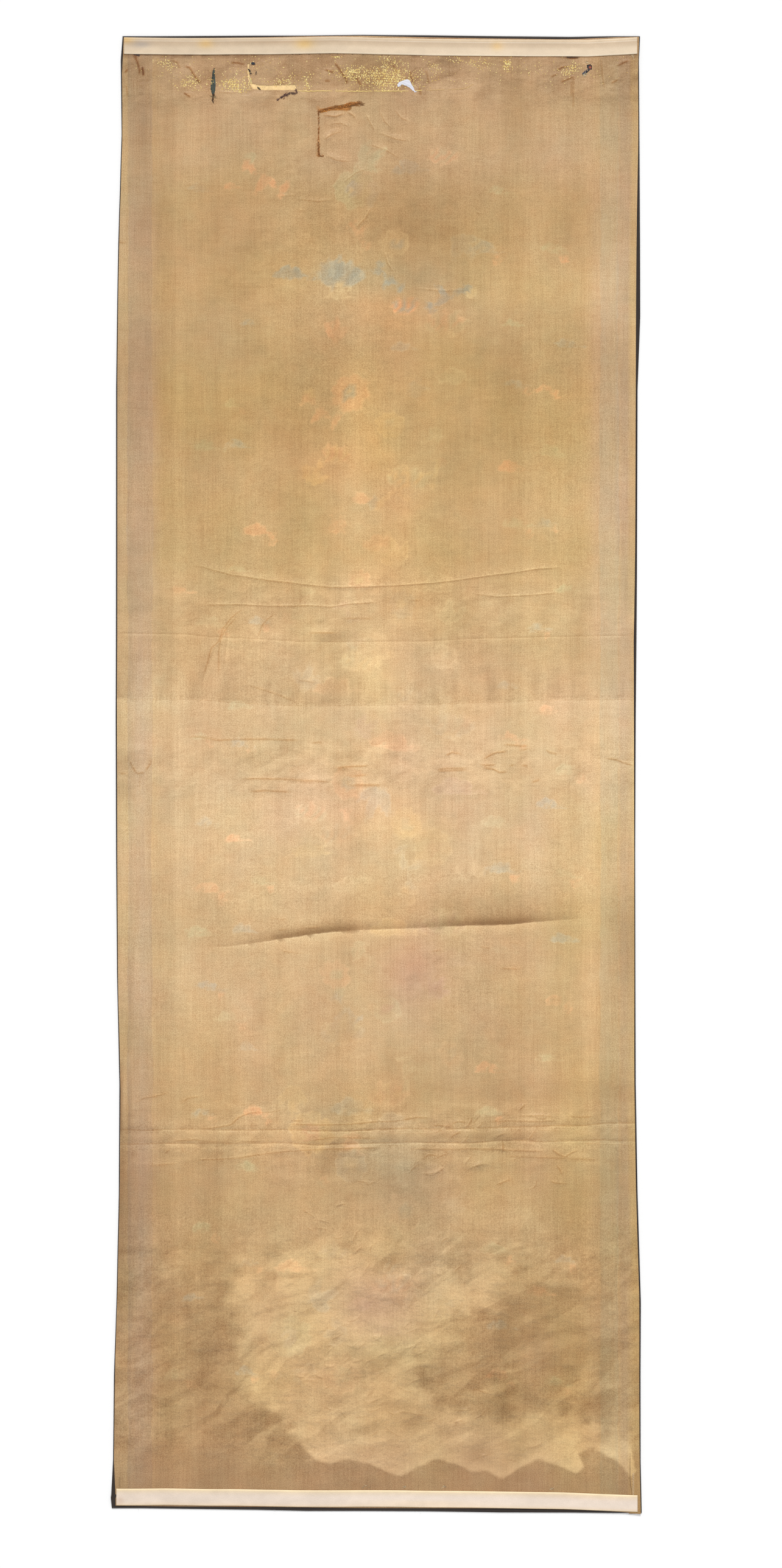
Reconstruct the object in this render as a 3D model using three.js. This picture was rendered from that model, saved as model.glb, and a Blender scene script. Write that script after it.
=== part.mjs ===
// A lined silk brocade panel, lying face down and flat, so that its lining is uppermost.
// Units are millimetres. X runs across the panel, Y along it towards its top edge, and Z is up.
// The origin is at the middle of the panel, on the surface that it lies on.
import * as THREE from "three";

// Driving dimensions
const LENGTH = 1787;
const FACE_THICK = 1.2;
const LINING_THICK = 1;
const TAPE_THICK = 1;
const TAPE_WIDTH = 20;
const BORDER_WIDTH = 36;
// What lies on or beside a piece is this far from it
const GAP = 0.3;

const FACE_TOP = FACE_THICK;
const LINING_BASE = FACE_TOP + GAP;
const LINING_TOP = LINING_BASE + LINING_THICK;
const TAPE_BASE = LINING_TOP + GAP;

// The lining's mesh
const COLUMNS = 26;
const WIDEST_ROW = 46;

// The long sides, from the top edge down. left and right are the border's distance from the
// middle, and leftShows and rightShows how much of it shows past the lining.
const SIDES = [
  { down: 0, left: 306.2, right: 318.3, leftShows: 1.3, rightShows: 1.4 },
  { down: 30, left: 308.6, right: 317.0, leftShows: 1.4, rightShows: 1.2 },
  { down: 120, left: 307.6, right: 317.5, leftShows: 1.2, rightShows: 1.2 },
  { down: 252, left: 311.6, right: 318.3, leftShows: 1.4, rightShows: 4.2 },
  { down: 340, left: 313.1, right: 318.5, leftShows: 1.4, rightShows: 5.1 },
  { down: 428, left: 314.2, right: 315.3, leftShows: 1.5, rightShows: 2.2 },
  { down: 649, left: 314.3, right: 314.6, leftShows: 1.6, rightShows: 2.1 },
  { down: 737, left: 314.4, right: 313.9, leftShows: 1.6, rightShows: 3.3 },
  { down: 825, left: 314.7, right: 313.1, leftShows: 1.5, rightShows: 2.2 },
  { down: 987, left: 314.2, right: 312.4, leftShows: 1.5, rightShows: 1.2 },
  { down: 1134, left: 313.1, right: 312.7, leftShows: 1.4, rightShows: 1.3 },
  { down: 1266, left: 310.2, right: 313.1, leftShows: 1.4, rightShows: 1.9 },
  { down: 1399, left: 310.9, right: 315.3, leftShows: 1.3, rightShows: 2.0 },
  { down: 1531, left: 313.8, right: 319.3, leftShows: 1.3, rightShows: 1.8 },
  { down: 1619, left: 316.8, right: 318.9, leftShows: 1.4, rightShows: 1.7 },
  { down: 1722, left: 317.9, right: 319.0, leftShows: 1.2, rightShows: 1.4 },
  { down: 1768, left: 320.4, right: 320.0, leftShows: 3.6, rightShows: 1.2 },
  { down: LENGTH, left: 318.6, right: 320.4, leftShows: 5.0, rightShows: 1.0 },
];

// The short ends, from left to right. topDip and bottomDip are how far the border falls short
// of the full length, and topShows and bottomShows how much of it shows past the lining.
const ENDS = [
  { across: -320, topDip: 1.8, bottomDip: 8.0, topShows: 1.0, bottomShows: 2.6 },
  { across: -235, topDip: 1.4, bottomDip: 6.8, topShows: 2.6, bottomShows: 2.9 },
  { across: -145, topDip: 0.9, bottomDip: 5.6, topShows: 2.4, bottomShows: 3.6 },
  { across: -85, topDip: 0.8, bottomDip: 4.2, topShows: 1.0, bottomShows: 4.4 },
  { across: -20, topDip: 0.0, bottomDip: 4.2, topShows: 1.2, bottomShows: 3.6 },
  { across: 60, topDip: 0.5, bottomDip: 3.8, topShows: 2.6, bottomShows: 3.8 },
  { across: 150, topDip: 1.6, bottomDip: 2.4, topShows: 3.0, bottomShows: 5.0 },
  { across: 235, topDip: 2.4, bottomDip: 2.2, topShows: 3.2, bottomShows: 3.8 },
  { across: 290, topDip: 1.5, bottomDip: 1.6, topShows: 1.4, bottomShows: 2.2 },
  { across: 320, topDip: 2.2, bottomDip: 0.0, topShows: 0.3, bottomShows: 0.3 },
];

// The main folds that lie across the lining, from the top down. atLeft, atMiddle and atRight
// are how far down the crest lies, and the fold runs from one side's place to the other's.
// above and below are how wide its two slopes are.
const FOLDS = [
  { atLeft: 628, atMiddle: 667, atRight: 633, from: -230, to: 225, height: 1.8, above: 11, below: 4 },
  { atLeft: 690, atMiddle: 689, atRight: 674, from: -225, to: 222, height: 1.9, above: 10, below: 6 },
  { atLeft: 724, atMiddle: 733, atRight: 727, from: -316, to: 318, height: 1.2, above: 24, below: 4 },
  { atLeft: 801, atMiddle: 810, atRight: 801, from: -316, to: 316, height: 1.9, above: 26, below: 3 },
  { atLeft: 890, atMiddle: 886, atRight: 876, from: -260, to: 300, height: 1.6, above: 9, below: 9 },
  { atLeft: 1104, atMiddle: 1066, atRight: 1056, from: -215, to: 240, height: 3.4, above: 46, below: 15 },
  { atLeft: 1322, atMiddle: 1323, atRight: 1314, from: -316, to: 318, height: 2.8, above: 7, below: 5 },
  { atLeft: 1339, atMiddle: 1341, atRight: 1337, from: -316, to: 318, height: 2.4, above: 5, below: 9 },
];
// A fold rises to its height over this length at each end
const FOLD_TAPER = 50;
// How far from the middle the folds' left and right places are
const FOLD_REACH = 310;

// Soft waves of the loose lining above the bottom edge
const WAVE = { from: 1380, to: 1755, height: 1.5, pitch: 176, lean: 0.45 };

// The tapes' upper edges, from left to right, measured down from the panel's top
const TOP_TAPE = [
  { across: -304.6, down: 3.2 },
  { across: -247, down: 4.1 },
  { across: -128, down: 3.8 },
  { across: -52, down: 2.4 },
  { across: 2, down: 4.0 },
  { across: 79, down: 5.2 },
  { across: 189, down: 6.2 },
  { across: 255, down: 6.4 },
  { across: 314.8, down: 3.2 },
];
const BOTTOM_TAPE = [
  { across: -313.8, down: 1755.6 },
  { across: -256, down: 1755.4 },
  { across: -175, down: 1756.2 },
  { across: -97, down: 1757.4 },
  { across: 29, down: 1757.8 },
  { across: 114, down: 1758.4 },
  { across: 226, down: 1760.2 },
  { across: 271, down: 1762.0 },
  { across: 315.2, down: 1763.6 },
];

const material = (color, roughness) =>
  new THREE.MeshStandardMaterial({ color, roughness, metalness: 0 });

const BROCADE = material(0xc79f5b, 0.45);
const BLACK_SATIN = material(0x1b1918, 0.6);
const LINING_SILK = material(0xcda476, 0.42);
const COTTON_TAPE = material(0xe6d6c0, 0.95);

const panel = new THREE.Group();

function add(name, geometry, finish) {
  const mesh = new THREE.Mesh(geometry, finish);
  mesh.name = name;
  panel.add(mesh);
}

// The value of one column of a table, between the two rows on each side of a place
function between(table, along, column, place) {
  const next = table.findIndex((row) => row[along] >= place);
  if (next <= 0) return table[next < 0 ? table.length - 1 : 0][column];
  const a = table[next - 1];
  const b = table[next];
  const share = (place - a[along]) / (b[along] - a[along]);
  return THREE.MathUtils.lerp(a[column], b[column], share);
}

const side = (column, down) => between(SIDES, "down", column, down);
const end = (column, across) => between(ENDS, "across", column, across);
const fromTop = (down) => LENGTH / 2 - down;

// The border's outer line at each of the panel's four edges, moved inwards by an amount
const leftLine = (down, inwards) => inwards - side("left", down);
const rightLine = (down, inwards) => side("right", down) - inwards;
const topLine = (across, inwards) => end("topDip", across) + inwards;
const bottomLine = (across, inwards) => LENGTH - end("bottomDip", across) - inwards;

// A flat piece of cloth with the outline of some points, each across and down
function flatCloth(points, base, thickness) {
  const outline = new THREE.Shape(
    points.map(([across, down]) => new THREE.Vector2(across, fromTop(down))),
  );
  const geometry = new THREE.ExtrudeGeometry(outline, {
    depth: thickness,
    bevelEnabled: false,
  });
  return geometry.translate(0, 0, base);
}

// Places of a table that lie strictly between two ends
const inside = (table, along, from, to) =>
  table.map((row) => row[along]).filter((place) => place > from && place < to);

// Where one of the long sides meets one of the ends, each moved inwards by an amount
function corner(sideLine, sideInwards, endLine, endInwards) {
  let across = sideLine(LENGTH / 2, sideInwards);
  let down = endLine(across, endInwards);
  for (let pass = 0; pass < 4; pass += 1) {
    across = sideLine(down, sideInwards);
    down = endLine(across, endInwards);
  }
  return [across, down];
}

// The points of an end line between two corners, from left to right
function alongEnd(line, inwards, from, to) {
  const places = inside(ENDS, "across", from[0], to[0]);
  return [from, ...places.map((across) => [across, line(across, inwards)]), to];
}

// The points of a long side's line between two places, from the top down
function alongSide(line, inwards, from, to) {
  const places = [from, ...inside(SIDES, "down", from, to), to];
  return places.map((down) => [line(down, inwards), down]);
}

// The brocade itself, face down inside its border
function addFace() {
  const inset = BORDER_WIDTH + GAP;
  const topLeft = corner(leftLine, inset, topLine, inset);
  const topRight = corner(rightLine, inset, topLine, inset);
  const bottomLeft = corner(leftLine, inset, bottomLine, inset);
  const bottomRight = corner(rightLine, inset, bottomLine, inset);
  const rightSide = alongSide(rightLine, inset, topRight[1], bottomRight[1]);
  const leftSide = alongSide(leftLine, inset, topLeft[1], bottomLeft[1]);
  const points = [
    ...alongEnd(topLine, inset, topLeft, topRight).slice(0, -1),
    ...rightSide.slice(0, -1),
    ...alongEnd(bottomLine, inset, bottomLeft, bottomRight).reverse().slice(0, -1),
    ...leftSide.reverse().slice(0, -1),
  ];
  add("brocade_face", flatCloth(points, 0, FACE_THICK), BROCADE);
}

// One long black strip: its outer line down, and its inner line back up
function addSideBorder(name, line) {
  const row = (inwards) => {
    const first = corner(line, inwards, topLine, 0)[1];
    const last = corner(line, inwards, bottomLine, 0)[1];
    return alongSide(line, inwards, first, last);
  };
  const points = [...row(0), ...row(BORDER_WIDTH).reverse()];
  add(name, flatCloth(points, 0, FACE_THICK), BLACK_SATIN);
}

// One short black strip, which ends against the two long ones
function addEndBorder(name, line) {
  const inset = BORDER_WIDTH + GAP;
  const row = (inwards) =>
    alongEnd(
      line,
      inwards,
      corner(leftLine, inset, line, inwards),
      corner(rightLine, inset, line, inwards),
    );
  const points = [...row(0), ...row(BORDER_WIDTH).reverse()];
  add(name, flatCloth(points, 0, FACE_THICK), BLACK_SATIN);
}

// Where a fold's crest lies, as a curve through its three places
function crest(fold, across) {
  const t = across / FOLD_REACH;
  const bow = (fold.atLeft + fold.atRight) / 2 - fold.atMiddle;
  const tilt = (fold.atRight - fold.atLeft) / 2;
  return fold.atMiddle + tilt * t + bow * t * t;
}

// How high a fold stands at a place across the panel
function foldHeight(fold, across) {
  const fromEnd = Math.min(across - fold.from, fold.to - across);
  return fold.height * THREE.MathUtils.smoothstep(fromEnd, 0, FOLD_TAPER);
}

// The lining's soft waves, which die away at the ends of their stretch
function waveHeight(across, down) {
  const along = (down - WAVE.from) / (WAVE.to - WAVE.from);
  if (along <= 0 || along >= 1) return 0;
  const phase = (across + WAVE.lean * down) / WAVE.pitch;
  const swell = 0.5 + 0.5 * Math.sin(2 * Math.PI * phase);
  return WAVE.height * swell * Math.sin(Math.PI * along) ** 2;
}

// The lining's rows from top to bottom. Each has how far down it lies at a place across, and
// the height of the fold whose crest it is.
function liningRows() {
  const flat = () => 0;
  const lined = [
    { down: (x) => topLine(x, end("topShows", x)), height: flat },
    ...FOLDS.flatMap((fold) => [
      { down: (x) => crest(fold, x) - fold.above, height: flat },
      { down: (x) => crest(fold, x), height: (x) => foldHeight(fold, x) },
      { down: (x) => crest(fold, x) + fold.below, height: flat },
    ]),
    { down: (x) => bottomLine(x, end("bottomShows", x)), height: flat },
  ];
  return lined.flatMap((row, i) => {
    const next = lined[i + 1];
    if (!next) return [row];
    const steps = Math.ceil((next.down(0) - row.down(0)) / WIDEST_ROW);
    const fill = Array.from({ length: steps - 1 }, (_, k) => ({
      down: (x) => THREE.MathUtils.lerp(row.down(x), next.down(x), (k + 1) / steps),
      height: flat,
    }));
    return [row, ...fill];
  });
}

// The lining, a sheet that follows its folds on both faces
function addLining() {
  const positions = [];
  const triangles = [];
  const rows = liningRows();
  const wide = COLUMNS + 1;
  for (const lift of [LINING_TOP, LINING_BASE]) {
    for (const row of rows) {
      for (let column = 0; column <= COLUMNS; column += 1) {
        const middleDown = row.down(0);
        const from = leftLine(middleDown, side("leftShows", middleDown));
        const to = rightLine(middleDown, side("rightShows", middleDown));
        const across = THREE.MathUtils.lerp(from, to, column / COLUMNS);
        const down = row.down(across);
        const height = row.height(across) + waveHeight(across, down);
        positions.push(across, fromTop(down), lift + height);
      }
    }
  }
  const under = rows.length * wide;
  const square = (a, b, c, d) => triangles.push(a, b, c, a, c, d);
  for (let r = 0; r + 1 < rows.length; r += 1) {
    for (let c = 0; c < COLUMNS; c += 1) {
      const a = r * wide + c;
      square(a, a + wide, a + wide + 1, a + 1);
      square(under + a, under + a + 1, under + a + wide + 1, under + a + wide);
    }
    const left = r * wide;
    const right = left + COLUMNS;
    square(left, under + left, under + left + wide, left + wide);
    square(right, right + wide, under + right + wide, under + right);
  }
  const last = (rows.length - 1) * wide;
  for (let c = 0; c < COLUMNS; c += 1) {
    square(c, c + 1, under + c + 1, under + c);
    square(last + c, under + last + c, under + last + c + 1, last + c + 1);
  }
  const geometry = new THREE.BufferGeometry();
  geometry.setAttribute("position", new THREE.Float32BufferAttribute(positions, 3));
  geometry.setIndex(triangles);
  geometry.computeVertexNormals();
  add("lining", geometry, LINING_SILK);
}

// One woven tape, sewn flat on the lining
function addTape(name, table) {
  const points = [
    ...table.map(({ across, down }) => [across, down]),
    ...[...table].reverse().map(({ across, down }) => [across, down + TAPE_WIDTH]),
  ];
  add(name, flatCloth(points, TAPE_BASE, TAPE_THICK), COTTON_TAPE);
}

addFace();
addSideBorder("border_left", leftLine);
addSideBorder("border_right", rightLine);
addEndBorder("border_top", topLine);
addEndBorder("border_bottom", bottomLine);
addLining();
addTape("tape_top", TOP_TAPE);
addTape("tape_bottom", BOTTOM_TAPE);

export default panel;
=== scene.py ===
"""Looks of the lined silk brocade panel, which lies face down with its gold lining up.

Sizes are in millimetres: across is measured from the panel's middle, down from its top edge,
and height from the surface that it lies on. MM turns them into Blender's metres.
"""

import math
from collections import namedtuple

import bpy
import numpy as np
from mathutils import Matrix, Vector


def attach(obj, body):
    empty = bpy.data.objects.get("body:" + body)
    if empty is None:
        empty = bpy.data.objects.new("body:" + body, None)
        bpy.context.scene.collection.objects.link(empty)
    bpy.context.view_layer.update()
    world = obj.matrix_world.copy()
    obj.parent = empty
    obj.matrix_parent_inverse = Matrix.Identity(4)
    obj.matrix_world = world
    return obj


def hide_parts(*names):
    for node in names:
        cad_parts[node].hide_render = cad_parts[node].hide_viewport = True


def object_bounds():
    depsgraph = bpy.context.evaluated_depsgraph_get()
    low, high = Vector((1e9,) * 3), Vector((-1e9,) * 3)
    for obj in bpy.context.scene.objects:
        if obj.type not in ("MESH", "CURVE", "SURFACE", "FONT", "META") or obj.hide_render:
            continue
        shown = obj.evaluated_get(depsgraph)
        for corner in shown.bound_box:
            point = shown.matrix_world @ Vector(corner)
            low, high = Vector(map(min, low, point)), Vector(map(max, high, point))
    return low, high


MM = 0.001

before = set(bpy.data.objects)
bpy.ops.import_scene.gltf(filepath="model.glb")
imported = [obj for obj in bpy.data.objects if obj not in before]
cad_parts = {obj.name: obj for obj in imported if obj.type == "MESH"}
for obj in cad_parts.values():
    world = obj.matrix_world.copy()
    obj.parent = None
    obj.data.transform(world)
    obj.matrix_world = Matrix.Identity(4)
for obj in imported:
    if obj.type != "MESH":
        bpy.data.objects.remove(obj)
cad_low, cad_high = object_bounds()

# The panel and the picture
LENGTH = (cad_high.y - cad_low.y) / MM
HALF_WIDTH = (cad_high.x - cad_low.x) / MM / 2
PICTURE_PIXELS = (1284, 2576)
PANEL_MIDDLE_PIXEL = (618, 1272.6)
PIXEL = 0.735

# The cloths
LINING_TOP = 2.5
TAPE_WIDTH = 20
HEM = 14

# The lining's grid: coarse cells, each cut into up to CUTS pieces each way
CELL = 5.2
CUTS = 4


def smooth(t):
    """A soft step from 0 at t = 0 to 1 at t = 1."""
    t = np.clip(t, 0, 1)
    return t * t * (3 - 2 * t)


def soft_noise(across, down, wide, tall, seed):
    """Smooth noise from -1 to 1 whose lumps are wide by tall, the same each run."""
    x = (np.asarray(across, float) + 2 * HALF_WIDTH) / wide
    y = (np.asarray(down, float) + LENGTH / 4) / tall
    values = np.random.default_rng(seed).uniform(-1.6, 1.6, (4096, 97))
    i, j = x.astype(int), y.astype(int)
    fx, fy = x - i, y - j

    def weights(t):
        return ((1 - t) ** 3 / 6, (3 * t**3 - 6 * t**2 + 4) / 6,
                (-3 * t**3 + 3 * t**2 + 3 * t + 1) / 6, t**3 / 6)

    total = np.zeros_like(x)
    for a, wx in enumerate(weights(fx)):
        for b, wy in enumerate(weights(fy)):
            place = (i + a) * 131 + (j + b) * 7919
            total += wx * wy * values[place % 4096, (i + a) % 97]
    return total


def linear(colour):
    """A screen colour from 0 to 1 as linear light."""
    colour = np.clip(np.asarray(colour, float), 0, 1)
    return np.where(colour <= 0.04045, colour / 12.92, ((colour + 0.055) / 1.055) ** 2.4)


# The outline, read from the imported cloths


def node_points(name):
    """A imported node's corners, as across, down and height."""
    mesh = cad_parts[name].data
    points = np.zeros(len(mesh.vertices) * 3)
    mesh.vertices.foreach_get("co", points)
    x, y, z = points.reshape(-1, 3).T / MM
    return x, LENGTH / 2 - y, z


def edge_line(name, along, pick, keep):
    """The line of a node's edge: for each place along, the least or greatest other place."""
    x, down, _ = node_points(name)
    here, there = (down, x) if along == "down" else (x, down)
    used = keep(x, down)
    here, there = here[used], there[used]
    places = np.unique(here.round(2))
    line = np.array([pick(there[np.abs(here - place) < 0.02]) for place in places])
    return lambda where: np.interp(where, places, line)


BORDER_WIDTH = 36
border_left = edge_line("border_left", "down", np.min, lambda x, d: x < -300)
border_right = edge_line("border_right", "down", np.max, lambda x, d: x > 300)
border_top = edge_line("border_top", "across", np.min, lambda x, d: d < 8)
border_bottom = edge_line("border_bottom", "across", np.max, lambda x, d: d > LENGTH - 14)
lining_left = edge_line("lining", "down", np.min, lambda x, d: x < -300)
lining_right = edge_line("lining", "down", np.max, lambda x, d: x > 300)
lining_top = edge_line("lining", "across", np.min, lambda x, d: d < 14)
lining_bottom = edge_line("lining", "across", np.max, lambda x, d: d > LENGTH - 18)
tape_lines = {
    "tape_top": edge_line("tape_top", "across", np.min, lambda x, d: d < 100),
    "tape_bottom": edge_line("tape_bottom", "across", np.min, lambda x, d: d > 1700),
}

# Folds and creases: a path of (across, down) points, how high it stands, and how wide its
# slopes are above and below. A sharp one comes to a point, and a soft one is rounded. Taper is the
# length over which its ends die away; the last is the tone of its line, painted shade with soil.
Crease = namedtuple("Crease", "path height above below sharp taper dirt", defaults=(True, 18, 1.0))

# How a line shades the silk: the change of tone above and below it, and how far each reaches
Shade = namedtuple("Shade", "path above above_reach below below_reach taper", defaults=(20,))

MAIN_FOLDS = [
    Crease([(-218, 640), (-175, 652), (-126, 659), (-92, 663), (-55, 667), (-23, 666.6), (21, 665),
            (68, 662), (97, 658.6), (129, 654), (161, 650), (194, 645), (222, 643)],
           1.0, 7, 1.8),
    Crease([(-212, 688.3), (-163, 687.7), (-132, 689.7), (-77, 689.1), (-57, 690.8), (-32, 687), (2, 685)],
           0.9, 6, 2.2),
    Crease([(118, 675), (145, 678.3), (161, 677.7), (190, 676.2), (222, 673)], 0.8, 5, 2),
    Crease([(-316, 723), (-234, 724), (-200, 727.4), (-163, 729), (-126, 731), (-92, 733.2),
            (-36, 733.5), (11, 733), (65, 732.4), (113, 729.6), (145, 729), (209, 727.2),
            (251, 726.7), (314, 725.4)], -0.35, 2.5, 3),
    Crease([(-316, 801.5), (-219, 802), (-138, 807.8), (-85, 810), (15, 808.5), (60, 808.5),
            (102, 806.3), (167, 804.8), (201, 802.6), (314, 802)], 0.55, 14, 2.2),
    Crease([(-312, 1322.8), (-277, 1323.7), (-240, 1322.2), (-190, 1323.3), (-112, 1322.8),
            (-71, 1324.3), (-30, 1324.3), (5, 1322.4), (43, 1321.6), (70, 1322.2), (117, 1321.2),
            (146, 1320.2), (179, 1319.5), (216, 1318.1), (249, 1318.1), (276, 1315), (315, 1314.6)],
           -0.85, 4, 4.5, True, 6),
    Crease([(-312, 1340.8), (-285, 1340.2), (-256, 1339.3), (-174, 1339.8), (-112, 1338.7),
            (-71, 1341.4), (-40, 1339.8), (5, 1338.9), (43, 1337.7), (90, 1338.7), (117, 1338.7),
            (146, 1336), (179, 1335.6), (199, 1337.7), (237, 1336), (270, 1335.2), (315, 1336.7)],
           -0.8, 3.6, 4.5, True, 6),
]

# The broad fold: a long soft back that ends in a steep foot along this line
BROAD_FOOT = [
    (-222, 1103.5), (-170, 1100), (-131, 1094.4), (-111, 1091.5), (-91, 1088.5), (-57, 1084), (-18, 1081.2),
    (3, 1080.3), (40, 1079.3), (73, 1077.5), (107, 1076), (160, 1074.9), (198, 1070.9), (229, 1068.7),
    (262, 1066),
]
BROAD_HEIGHT = 2.6
BROAD_STEEP = 13
BROAD_BACK = 62

# Where its shade is deep: across, half width and how deep
BROAD_SHADE = [(-70, 62, 0.16), (150, 52, 0.17), (60, 40, 0.05)]

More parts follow.
